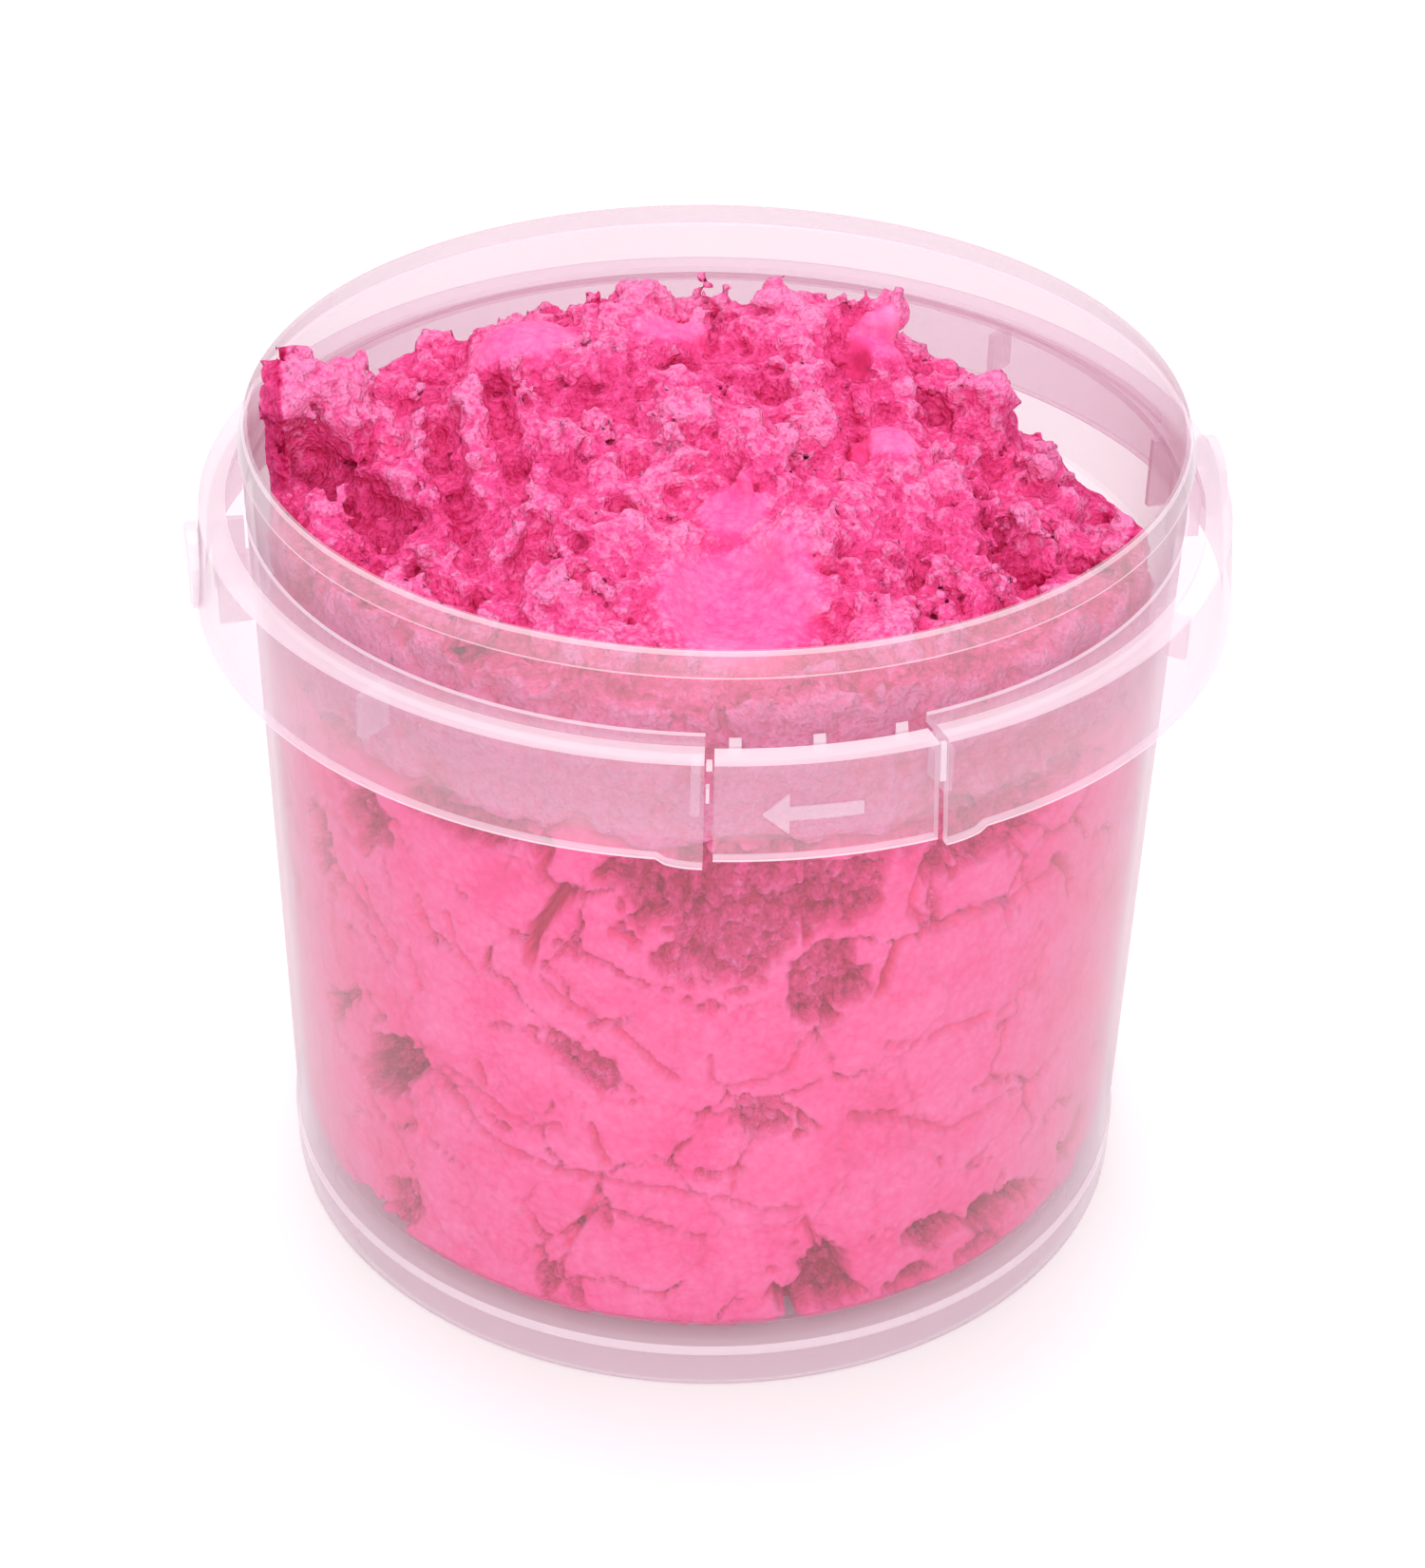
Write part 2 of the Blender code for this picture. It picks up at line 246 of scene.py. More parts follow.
CLEAR_TINT = (0.957, 0.905, 0.935, 1.0)
PLASTIC_ROUGHNESS = 0.3
PLASTIC_IOR = 1.49
CLOUD_SCALE, CLOUD_DETAIL, CLOUD_HAZE = 55.0, 3.0, 0.03
TOOLING_SCALE, TOOLING_STRENGTH, TOOLING_HEIGHT = 900.0, 0.05, 0.0003


def haze_factor(tree, place, haze, edge_haze, edge_power):
    """Share of milky body: least where a surface faces the eye, with a faint cloudiness."""
    facing = node(tree, "ShaderNodeLayerWeight")
    facing.inputs["Blend"].default_value = 0.5
    on_edge = calc(tree, "POWER", facing.outputs["Facing"], edge_power)
    plain = calc(tree, "MULTIPLY_ADD", on_edge, edge_haze, haze)
    cloud = noise(tree, place, CLOUD_SCALE, CLOUD_DETAIL)["Fac"]
    clouded = calc(tree, "MULTIPLY_ADD", cloud, CLOUD_HAZE, plain)
    clouded.node.use_clamp = True
    return clouded


def milky_body(tree, place, colour):
    """Satin body with a fine tooling grain."""
    milk = node(tree, "ShaderNodeBsdfPrincipled")
    bump = node(tree, "ShaderNodeBump")
    height = noise(tree, place, TOOLING_SCALE)["Fac"]
    feed_all(tree, bump, Strength=TOOLING_STRENGTH, Distance=TOOLING_HEIGHT, Height=height)
    feed_all(tree, milk, Base_Color=(*colour, 1.0), Roughness=PLASTIC_ROUGHNESS, IOR=PLASTIC_IOR)
    feed_all(tree, milk, Normal=bump.outputs["Normal"])
    return milk.outputs[0]


def milky_plastic(name, colour, haze, edge_haze, edge_power=4.0):
    """Tinted clear film mixed with its milky body; each surface turns milkier where it is seen on edge."""
    mat = bpy.data.materials.new(name)
    mat.use_nodes = True
    tree = mat.node_tree
    tree.nodes.clear()
    place = object_place(tree)
    clear = node(tree, "ShaderNodeBsdfTransparent")
    clear.inputs["Color"].default_value = CLEAR_TINT
    mix = node(tree, "ShaderNodeMixShader")
    feed(tree, mix.inputs["Fac"], haze_factor(tree, place, haze, edge_haze, edge_power))
    feed(tree, mix.inputs[1], clear.outputs[0])
    feed(tree, mix.inputs[2], milky_body(tree, place, colour))
    out = node(tree, "ShaderNodeOutputMaterial")
    feed(tree, out.inputs["Surface"], mix.outputs[0])
    return mat


WALL_PLASTIC = milky_plastic("wall_plastic", (0.70, 0.60, 0.65), 0.05, 0.7, edge_power=3.4)
NECK_PLASTIC = milky_plastic("neck_plastic", (0.69, 0.57, 0.62), 0.15, 0.6)
LIP_PLASTIC = milky_plastic("lip_plastic", (0.64, 0.57, 0.61), 0.24, 0.75)
FOOT_PLASTIC = milky_plastic("foot_plastic", (0.76, 0.66, 0.71), 0.14, 0.75)
SKIRT_PLASTIC = milky_plastic("skirt_plastic", (0.84, 0.70, 0.76), 0.11, 0.65, edge_power=3.2)
STRIP_PLASTIC = milky_plastic("strip_plastic", (0.90, 0.81, 0.86), 0.46, 0.4)
RAISED_PLASTIC = milky_plastic("raised_plastic", (0.92, 0.82, 0.88), 0.22, 0.4)
# painted highlight: the bright lines along the edges are this paler, milkier body
EDGE_HIGHLIGHT_PLASTIC = milky_plastic("edge_highlight_plastic", (0.92, 0.80, 0.87), 0.45, 0.4)

TUB_PLASTICS = [WALL_PLASTIC, NECK_PLASTIC, LIP_PLASTIC, EDGE_HIGHLIGHT_PLASTIC, FOOT_PLASTIC]
WALL, NECK, LIP, TUB_HIGHLIGHT, FOOT = range(5)
COLLAR_PLASTICS = [SKIRT_PLASTIC, STRIP_PLASTIC, EDGE_HIGHLIGHT_PLASTIC]
SKIRT, STRIP, COLLAR_HIGHLIGHT = range(3)


# -------------------------------- mouldings: pieces

def tub_corners():
    """Up the outside from the foot, over the lip, down the inside and across the floor."""
    neck_r = float(wall_outer(NECK_Z))
    inside = NECK_R - WALL_T
    outside_corners = [
        (FOOT_R - 0.1, 0.0, 0.5), (FOOT_R, FOOT_TOP_Z, 0.0), (FOOT_R, FOOT_TOP_Z + 0.5, 0.3),
        (WALL_R_LOW, 6.7, 0.5), (WALL_R_LOW + 0.02, 8.0, 0.0), (WALL_R_WAIST, WALL_Z_WAIST, 0.0),
        (neck_r, NECK_Z, 0.0), (NECK_R, LEDGE_Z, 0.0), (NECK_R + 0.1, LIP_Z - 0.25, 0.15),
    ]
    lip_corners = [
        (60.1, LIP_Z, 0.25), (59.42, LIP_EDGE_Z, 0.0), (59.3, RIM_Z, 0.3), (58.95, RIM_Z, 0.0),
        (58.6, RIM_Z - 0.1, 0.4), (inside, LIP_Z - 2.5, 2.0),
    ]
    inside_corners = [
        (inside, LEDGE_Z, 0.0), (neck_r - WALL_T, NECK_Z, 0.0), (WALL_R_WAIST - WALL_T, WALL_Z_WAIST, 0.0),
        (WALL_R_LOW - WALL_T, FLOOR_Z + 2.0, 1.5), (WALL_R_LOW - WALL_T - 3.0, FLOOR_Z, 1.5),
        (0.0001, FLOOR_Z, 0.0),
    ]
    underside_corners = [
        (0.0001, FLOOR_Z - FLOOR_T, 0.0), (FOOT_R - 2.2, FLOOR_Z - FLOOR_T - 0.2, 0.6),
        (FOOT_R - 1.3, 0.0, 0.3),
    ]
    return outside_corners + lip_corners + inside_corners + underside_corners


def tub_zone(r, z):
    # painted highlight lines on the lip's top edge, under the lip and on top of the foot
    top_highlight = z > LIP_EDGE_Z and r > 59.1
    under_highlight = LIP_Z - 0.3 < z < LIP_Z + 0.25 and r > NECK_R
    foot_highlight = FOOT_TOP_Z < z < FOOT_TOP_Z + 0.9 and r > WALL_R_LOW
    if top_highlight or under_highlight or foot_highlight:
        return TUB_HIGHLIGHT
    if z > LIP_Z:
        return LIP if r > 59.2 else NECK
    if z < FOOT_TOP_Z + 1.4:
        return FOOT
    return NECK if z > NECK_Z else WALL


def make_tub():
    """Wall, lip, floor and foot are one moulding."""
    shell = lathe("tub_shell", rounded(tub_corners(), 4), TUB_PLASTICS, tub_zone)
    shell.visible_shadow = False
    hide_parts("pail_wall", "pail_floor", "foot_ring")
    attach(shell, "pail")


def skirt_corners(bottom_z):
    """Down the outside of the skirt and up its inside to the strip."""
    bottom_r = skirt_outer(bottom_z)
    return [
        (bottom_r, bottom_z + EDGE_H, 0.0), (bottom_r, bottom_z, 0.25), (bottom_r - SKIRT_T, bottom_z, 0.4),
        (skirt_outer(STRIP_UNDER) - SKIRT_T, STRIP_UNDER, 0.3), (STRIP_R, STRIP_UNDER, 0.3),
    ]


def collar_corners(bottom_z):
    """The collar's section: a thin web from the neck, the strip, and the skirt that hangs from it."""
    web_r = NECK_R + 0.05
    web = [(web_r, LEDGE_Z + 0.25, 0.0), (web_r + 0.1, LEDGE_Z + 0.2, 0.0), (web_r + 0.3, LEDGE_Z, 0.1)]
    strip = [
        (STRIP_R - 0.15, LEDGE_Z, 0.0), (STRIP_R + 0.1, LEDGE_Z + 0.12, 0.0),
        (COLLAR_R - 0.6, LEDGE_Z + 0.05, 0.0), (COLLAR_R, LEDGE_Z - 0.05, 0.5),
    ]
    web_under = [(STRIP_R, LEDGE_Z - 1.0, 0.2), (web_r, LEDGE_Z - 1.0, 0.0)]
    return web + strip + skirt_corners(bottom_z) + web_under


def tab_corners():
    strip = [(STRIP_R, LEDGE_Z, 0.25), (COLLAR_R - 0.6, LEDGE_Z, 0.0), (COLLAR_R, LEDGE_Z - 0.05, 0.4)]
    return strip + skirt_corners(SKIRT_Z)


def collar_zone(r, z, low):
    # painted highlight lines on the web's bead, the strip's outer corner and the skirt's lower edge; the
    # sweeps' flat ends get them too
    bead = z > LEDGE_Z and r < STRIP_R - 0.5
    corner = z > LEDGE_Z - 0.45 and r > COLLAR_R - 0.62
    if bead or corner or z < low + EDGE_H - 0.01:
        return COLLAR_HIGHLIGHT
    return STRIP if z > LEDGE_Z - 1.9 and r > STRIP_R - 0.1 else SKIRT


LOBE_DEGREES, LOBE_DROP = 4.6, 1.1     # the rounded lobe in which the skirt ends on either side of the tab
LOBE_STEPS, COLLAR_STEPS, TAB_STEPS = 8, 220, 40


def lobe_drop(from_end):
    """How far the skirt hangs lower this many degrees from its end."""
    if from_end >= LOBE_DEGREES:
        return 0.0
    return LOBE_DROP * math.sqrt(1 - (from_end / LOBE_DEGREES) ** 2)


def make_collar():
    span = 360.0 + COLLAR_END_LEFT - COLLAR_END_RIGHT
    ends = [LOBE_DEGREES * (1 - math.cos(math.pi / 2 * i / LOBE_STEPS)) for i in range(LOBE_STEPS + 1)]
    plain = span - 2 * LOBE_DEGREES
    middle = [LOBE_DEGREES + plain * i / COLLAR_STEPS for i in range(1, COLLAR_STEPS)]
    offsets = ends + middle + [span - offset for offset in reversed(ends)]
    bottoms = [SKIRT_Z - lobe_drop(min(offset, span - offset)) for offset in offsets]
    outlines = [rounded(collar_corners(bottom), 3) for bottom in bottoms]
    angles = [COLLAR_END_RIGHT + offset for offset in offsets]
    collar = sweep("collar_shell", outlines, angles, COLLAR_PLASTICS, collar_zone, COLLAR_HIGHLIGHT)
    collar.visible_shadow = False
    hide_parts("collar_ring")
    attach(collar, "pail")


def make_tab():
    angles = [TAB_LEFT + (TAB_RIGHT - TAB_LEFT) * i / TAB_STEPS for i in range(TAB_STEPS + 1)]
    outlines = [rounded(tab_corners(), 3)] * len(angles)
    tab = sweep("tear_tab_shell", outlines, angles, COLLAR_PLASTICS, collar_zone, COLLAR_HIGHLIGHT)
    tab.visible_shadow = False
    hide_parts("tear_tab")
    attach(tab, "tab")


def keep_cad_pieces():
    """The small CAD pieces have the right shape and only get their plastic."""
    for name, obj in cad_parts.items():
        if name.startswith(("gusset", "tab_arrow")):
            plastic = RAISED_PLASTIC
        elif name.startswith(("stud", "handle", "tab_", "break", "film")):
            plastic = STRIP_PLASTIC
        else:
            continue
        obj.data.materials.clear()
        obj.data.materials.append(plastic)


# -------------------------------- sand: material

WOBBLE_SCALE, WOBBLE = 500.0, (0.0007, 0.0007, 0.0007)
CRUMB_SCALES, FINE_SHARE = (720.0, 1500.0), 0.6
GRAIN_SCALE, GRAIN_DETAIL, GRAIN_SHARE = 2100.0, 3.0, -1.1
BLOTCH_SCALE, BLOTCH_DETAIL, BLOTCH_SHARE = 120.0, 4.0, -0.35
# the colours run from pale, painted light on crumbs that stand out, to deep, painted shade in gaps and
# crevices
DEPTH_RANGE = (-1.6, 3.6)              # depths that the colours are spread over
# strength of the painted shade between crumbs, on loose and on pressed sand
LOOSE_CONTRAST, PRESSED_CONTRAST = 0.5, 0.16
CRUMB_MEAN, TONE_SHIFT = 0.15, 0.19
PRESSED_BUMP, BUMP_HEIGHT = 0.12, 0.0006
# pale pink is painted light on crumbs that stand out, mid pink is the sand's own colour, deep pink is
# painted shade
LIT_PINK = (0.96, 0.25, 0.52, 1.0)
MID_PINK = (0.92, 0.078, 0.30, 1.0)
SHADE_PINK = (0.50, 0.004, 0.07, 1.0)
MID_PLACE = 0.38


def crumb_pattern(tree, place):
    """Two sizes of crumbs, low at their middles and high in the gaps, with loose grains on them; it makes
    the bump and the painted shade in the gaps.
    """
    bent = node(tree, "ShaderNodeVectorMath", operation="MULTIPLY_ADD")
    for socket, value in zip(bent.inputs, (noise(tree, place, WOBBLE_SCALE)["Color"], WOBBLE, place)):
        feed(tree, socket, value)
    gaps = []
    for scale in CRUMB_SCALES:
        cells = node(tree, "ShaderNodeTexVoronoi")
        feed_all(tree, cells, Vector=bent.outputs["Vector"], Scale=scale)
        gaps.append(cells.outputs["Distance"])
    both = calc(tree, "MULTIPLY_ADD", gaps[1], FINE_SHARE, gaps[0])
    grain = noise(tree, place, GRAIN_SCALE, GRAIN_DETAIL)["Fac"]
    return calc(tree, "MULTIPLY_ADD", grain, GRAIN_SHARE, both)


def sand_tone(tree, place, depth, pressed, crumb):
    """From 0, pale, to 1, deep: painted shade by depth below the surface and in the gaps between crumbs,
    with random blotches.
    """
    level = mapped(tree, depth, 0.0, 1.0, *DEPTH_RANGE)
    blotch = noise(tree, place, BLOTCH_SCALE, BLOTCH_DETAIL)["Fac"]
    mixed = calc(tree, "MULTIPLY_ADD", blotch, BLOTCH_SHARE, level)
    contrast = mapped(tree, pressed, LOOSE_CONTRAST, PRESSED_CONTRAST)
    # painted shade in the gaps between crumbs, weaker on pressed patches
    speck = calc(tree, "MULTIPLY_ADD", calc(tree, "SUBTRACT", crumb, CRUMB_MEAN), contrast, mixed)
    return calc(tree, "ADD", speck, TONE_SHIFT)


def pink_ramp(tree, tone):
    made = node(tree, "ShaderNodeValToRGB")
    stops = made.color_ramp.elements
    stops[0].position, stops[0].color = 0.0, LIT_PINK
    stops[1].position, stops[1].color = 1.0, SHADE_PINK
    stops.new(MID_PLACE).color = MID_PINK
    feed(tree, made.inputs["Fac"], tone)
    return made.outputs["Color"]


def sand_material(name):
    """Pink moulding sand, with painted light on grains on top and painted shade in the crevices."""
    mat = bpy.data.materials.new(name)
    mat.use_nodes = True
    tree = mat.node_tree
    shader = tree.nodes["Principled BSDF"]
    place = object_place(tree)
    depth = node(tree, "ShaderNodeAttribute", attribute_name="depth").outputs["Fac"]
    pressed = node(tree, "ShaderNodeAttribute", attribute_name="pressed").outputs["Fac"]
    crumb = crumb_pattern(tree, place)
    colour = pink_ramp(tree, sand_tone(tree, place, depth, pressed, crumb))
    bump = node(tree, "ShaderNodeBump", invert=True)
    strength = mapped(tree, pressed, 1.0, PRESSED_BUMP)
    feed_all(tree, bump, Strength=strength, Distance=BUMP_HEIGHT, Height=crumb)
    feed_all(tree, shader, Base_Color=colour, Normal=bump.outputs["Normal"], Roughness=0.82)
    feed_all(tree, shader, Specular_IOR_Level=0.1)
    return mat


SAND = sand_material("pink_sand")


# -------------------------------- sand: noise

PERIOD = 48
LATTICE_SHIFT = 1000.0                 # keeps lattice numbers positive
GRAIN_SIZES = (0.55, 0.95)


def ramp(value, low, high):
    """Smooth step from 0 at low to 1 at high."""
    t = np.clip((value - low) / (high - low), 0.0, 1.0)
    return t * t * (3.0 - 2.0 * t)


def smooth_noise(points, cell, seed):
    """Value noise from -1 to 1 on a random lattice."""
    table = np.random.default_rng(seed).uniform(-1.0, 1.0, (PERIOD, PERIOD, PERIOD))
    scaled = points / cell + LATTICE_SHIFT
    low = np.floor(scaled).astype(int)
    part = ramp(scaled - low, 0.0, 1.0)
    total = np.zeros(len(points))
    for step in itertools.product((0, 1), repeat=3):
        i, j, k = ((low + step) % PERIOD).T
        total += np.abs(1 - np.array(step) - part).prod(axis=1) * table[i, j, k]
    return total


def octaves(points, *layers):
    """A sum of noises, each layer given as (weight, cell, seed)."""
    return sum(weight * smooth_noise(points, cell, seed) for weight, cell, seed in layers)


def near_grains(points, cell, seed):
    """Distance to and size of the random grain in each of the 27 lattice cells round a point."""
    rng = np.random.default_rng(seed)
    jitter = rng.uniform(0.1, 0.9, (PERIOD, PERIOD, PERIOD, 3))
    size = rng.uniform(*GRAIN_SIZES, (PERIOD, PERIOD, PERIOD))
    scaled = points / cell + LATTICE_SHIFT
    low = np.floor(scaled).astype(int)
    for step in itertools.product((-1, 0, 1), repeat=3):
        corner = low + step
        i, j, k = (corner % PERIOD).T
        gap = corner + jitter[i, j, k] - scaled
        yield np.sqrt((gap * gap).sum(axis=1)), size[i, j, k]


def grains(points, cell, seed):
    """Union of round grains, highest at their middles and low in the gaps."""
    best = np.full(len(points), -9.0)
    for distance, size in near_grains(points, cell, seed):
        best = np.maximum(best, size - distance)
    return best


def grain_borders(points, cell, seed):
    """How far a point is from the border of its grain, and a number from 0 to 1 that is the grain's own."""
    first = np.full(len(points), 9.0)
    second = np.full(len(points), 9.0)
    owner = np.zeros(len(points))
    for distance, size in near_grains(points, cell, seed):
        nearer = distance < first
        second = np.where(nearer, first, np.minimum(second, distance))
        owner = np.where(nearer, size, owner)
        first = np.minimum(first, distance)
    return second - first, (owner - GRAIN_SIZES[0]) / (GRAIN_SIZES[1] - GRAIN_SIZES[0])


# -------------------------------- sand: mesh from arrays

def sand_object(name, verts, quads, depth, pressed, triangles=np.zeros((0, 3), int)):
    mesh = bpy.data.meshes.new(name)
    mesh.vertices.add(len(verts))
    mesh.vertices.foreach_set("co", (verts * MM).astype(np.float32).ravel())
    mesh.loops.add(quads.size + triangles.size)
    corners = np.concatenate((quads.ravel(), triangles.ravel()))
    mesh.loops.foreach_set("vertex_index", corners.astype(np.int32))
    mesh.polygons.add(len(quads) + len(triangles))
    starts = np.concatenate((np.arange(0, quads.size, 4), quads.size + np.arange(0, triangles.size, 3)))
    mesh.polygons.foreach_set("loop_start", starts.astype(np.int32))
    mesh.update(calc_edges=True)
    mesh.validate()
    mesh.polygons.foreach_set("use_smooth", np.ones(len(mesh.polygons), bool))
    mesh.materials.append(SAND)
    # the depth attribute carries the painted shade of the sand's colour
    for key, data in (("depth", depth), ("pressed", pressed)):
        attribute = mesh.attributes.new(key, "FLOAT", "POINT")
        attribute.data.foreach_set("value", data.astype(np.float32))
    return add_object(name, mesh)


# -------------------------------- sand: heap

VOXEL = 0.72
GRID_REACH, GRID_TOP = 61.0, 125.0
CORE_R = 52.0                          # inside it the sand below the skin is solid
SKIN = 5.5                             # thickness, above and below the smooth surface, that may be crumbly
OUTSIDE, INSIDE = -5.0, 5.0
UNDERSIDE_Z = 83.5                     # the heap and the fill meet just above this height
UNDERSIDE_R = 49.0                     # the underside is flat and hidden inside this radius
RIM_CLEAR = 0.35                       # gap between the heap and the wall
OVERHANG = 2.2                         # how far the sand may lean out over the rim
SQUEEZE = (1.0, 1.0, 0.6)              # pits and crevices are deeper than they are wide
CLOD, CLOD_SEED = 3.6, 12              # size of the clods in mm
CRUMB, CRUMB_SEED = 1.8, 13
CHUNK, CHUNK_SEED = 9.5, 11

# (right, away, height) of the heap's surface, seen along the camera's heading
HEAP_HEIGHTS = [
    (0, -57, 105), (-20, -53, 105.5), (20, -53, 105.5), (-38, -42, 106), (38, -42, 104.5),
    (-50, -27, 106.5), (-57, -10, 106), (50, -27, 104), (3, -47, 105.2), (2, -40, 104.6), (3, -33, 105.8),
    (11, -42, 105.4), (1, -24, 110.5), (-20, -17, 115.5), (-14, -28, 113), (-9.5, -38, 110),
    (-10, -46, 107.8), (5, -18, 115.5), (10, -29, 113), (14.5, -37, 110.5), (17, -45, 107.5),
    (-5, -8, 116.5), (0, 0, 118), (-12, 5, 118.5), (-12, 18, 119), (7, 18, 119.5), (18, 16, 120),
    (20, 9, 117), (27, 14, 111), (34, 8, 110), (38, 2, 106), (43, -6, 104), (47, -15, 103.5),
    (52, -20, 101), (46, 6, 92), (50, -5, 94), (21, -10, 114), (16, -11, 113), (30, -20, 110.5),
    (28, -34, 107), (38, -24, 105), (-27, -5, 115), (-32, -14, 112), (-30, -23, 109.5), (-34, -33, 107),
    (-38, 0, 113), (-37, 14, 111), (-25, 8, 119), (-30, 16, 115.5), (-43, -6, 108), (-41, -21, 106),
    (0, 30, 112), (0, 40, 100), (0, 57, 88), (-25, 35, 103), (-40, 28, 97), (-40, 41, 89), (25, 35, 100),
    (40, 25, 95), (-54, 14, 95), (52, 10, 88), (57, -8, 92), (42, 39, 88),
]
# (right, away, height, radius) of pits and of lumps
PITS = [
    (16.6, 8, 117, 2.6), (6.8, -0.6, 116.5, 2.4), (38.3, -23.6, 105.5, 4.2), (34, -18, 106.5, 2.2),
    (44.6, -20, 104, 2.6), (41, -13, 104, 1.8), (13, -17, 113.5, 1.7), (-10, -17, 115, 2.0),
    (-12, -25, 112.5, 1.7), (-8, -2, 117.5, 1.6), (26, -26, 109.5, 1.6), (-20, -34, 109.5, 1.7),
    (31, -8, 109, 1.8), (-15, -37, 109.5, 1.5),
]
LUMPS = [
    (34, 7.6, 110.5, 3.6), (50, -19, 103.8, 4.2), (-39, 1, 112, 3.0), (-11, 18, 117.5, 2.4),
    (20, 15, 116.5, 4.0), (-21, -16, 113.5, 4.5), (5, -17, 113.5, 4.5), (41, -2, 104.5, 2.6),
]
# (start, end, width) of crevices, each end as (right, away, height)
CREVICES = [
    ((-50.6, -7.3, 109), (-39.6, -21, 107), 2.9), ((-34.5, -5.6, 113), (-29.6, -26.9, 110.5), 2.2),
    ((-27.9, 1, 116), (-23.8, -22, 113), 1.8), ((16.5, 8, 117), (16.6, -12, 113.5), 1.7),
    ((-21, -29, 111), (-24, -37, 108.5), 1.5), ((-4, 4, 118), (6, 0, 117), 1.4),
    ((28, 6, 110), (33, -6, 108), 1.5), ((-44, -26, 107), (-32, -36, 107), 1.3),
]
# (right, away, half length, half width, turn in degrees) of patches pressed smooth
SMOOTH_PATCHES = [
    (3, -38.5, 10.5, 11.5, -6), (2, -24, 4.6, 4.2, -30), (-25, 8, 8, 6, 10), (21, -9.5, 5, 4, -10),
    (20.5, 10.5, 4.5, 4, 0), (-6, 11, 5, 3, 20),
]
# the heap stands clear of the wall beyond these places to the right and to the left
RIGHT_FACE, LEFT_FACE = 54.2, -55.2
# (point, inward normal) of the two slopes that bound the heap at the right
RIGHT_SLOPES = [
    ((41.3, 12.2, 105.0), (-0.822, -0.194, -0.536)), ((48.1, -9.6, 105.0), (-0.578, -0.339, -0.742)),
]
# the slab that leans on the rim at the left: its middle, long axis, upper side and half sizes
SLAB_MIDDLE = (-49.5, -2.0, 111.6)
SLAB_ALONG, SLAB_UP = (-0.88, -0.05, 0.47), (0.47, 0.0, 0.88)
SLAB_LONG, SLAB_WIDE, SLAB_THICK = 10.5, 7.0, 6.8


def view_points(points):
    """The same points as (right, away, height) of the camera's heading."""
    return np.column_stack((*spin(points[:, 0], points[:, 1], VIEW_TURN), points[:, 2]))


def heap_height(x, y):
    """Height of the heap's smooth surface: a mean of the listed points, the nearest counting most."""
    weight_sum, height_sum = 0.0, 0.0
    for px, py, pz in HEAP_HEIGHTS:
        weight = 1.0 / ((x - px) ** 2 + (y - py) ** 2 + 4.0) ** 1.7
        weight_sum = weight_sum + weight
        height_sum = height_sum + weight * pz
    return height_sum / weight_sum


def seam_height(x, y):
    """The heap and the fill part along a wavy line; the heap's underside inside it is flat."""
    flat = np.stack((x, y, np.zeros_like(x)), axis=1)
    wave = 2.2 + octaves(flat, (1.6, 9.0, 41), (0.7, 3.0, 42))
    return UNDERSIDE_Z + np.maximum(wave, 0.0) * ramp(np.hypot(x, y), 50.0, 55.0)


def patch_mask(x, y):
    """One on the patches pressed smooth, zero off them."""
    mask = np.zeros(len(x))
    for px, py, long, wide, turn in SMOOTH_PATCHES:
        u, v = spin(x - px, y - py, math.radians(turn))
        mask = np.maximum(mask, 1.0 - ramp(np.sqrt((u / long) ** 2 + (v / wide) ** 2), 0.72, 1.08))
    return mask


def unit(vector):
    return vector / np.linalg.norm(vector)


def left_slab(points):
    """Positive inside the slab of sand that leans on the rim at the left."""
    along = unit(np.array(SLAB_ALONG))
    up = unit(np.array(SLAB_UP) - along * (along @ np.array(SLAB_UP)))
    local = points - np.array(SLAB_MIDDLE)
    a = np.abs(local @ along / SLAB_LONG)
    b = np.abs(local @ np.cross(along, up) / SLAB_WIDE)
    c = np.abs(local @ up / SLAB_THICK)
    return (1.0 - (a ** 2.6 + b ** 2.4 + c ** 2.4) ** (1 / 2.5)) * 6.0


def bend(points):
    """A gentle drift that takes the evenness out of the grains, and the points moved by it."""
    warp = np.stack([smooth_noise(points, 5.0, 60 + n) for n in range(3)], axis=1)
    return warp, points + 1.1 * warp


def chunks(bent):
    """Broken chunks, about a centimetre across: high on their crowns, low in the gaps between them."""
    return grains(bent * (1.15, 0.8, 1.0), CHUNK, CHUNK_SEED) - 0.34


def clods_and_crumbs(points, warp, bent):
    return grains(bent, CLOD, CLOD_SEED), grains(points + 0.5 * warp, CRUMB, CRUMB_SEED)


def segment_distance(points, start, end):
    along = end - start
    t = np.clip(((points - start) @ along) / (along @ along), 0.0, 1.0)
    return np.linalg.norm(points - start - t[:, None] * along, axis=1)


def hollow_distance(points):
    """Distance to the nearest pit or crevice, negative inside it."""
    hollow = np.full(len(points), 9.0)
    for x, y, z, radius in PITS:
        hollow = np.minimum(hollow, np.linalg.norm((points - (x, y, z)) * SQUEEZE, axis=1) - radius)
    for start, end, width in CREVICES:
        ends = np.multiply((start, end), SQUEEZE)
        hollow = np.minimum(hollow, segment_distance(points * SQUEEZE, *ends) - width)
    return hollow


def smooth_body(bent, base):
    """The heap's smooth body with the slab and the lumps joined to it."""
    base = np.maximum(base, left_slab(bent))
    for x, y, z, radius in LUMPS:
        base = np.maximum(base, radius - np.linalg.norm(bent - (x, y, z), axis=1))
    return base


def side_distance(points, bent):
    """How far inside the right and left faces a point is; the slab at the left passes over its face."""
    left = np.where(points[:, 2] > 106.0, 9.0, bent[:, 0] - LEFT_FACE)
    return np.minimum(RIGHT_FACE - bent[:, 0], left)


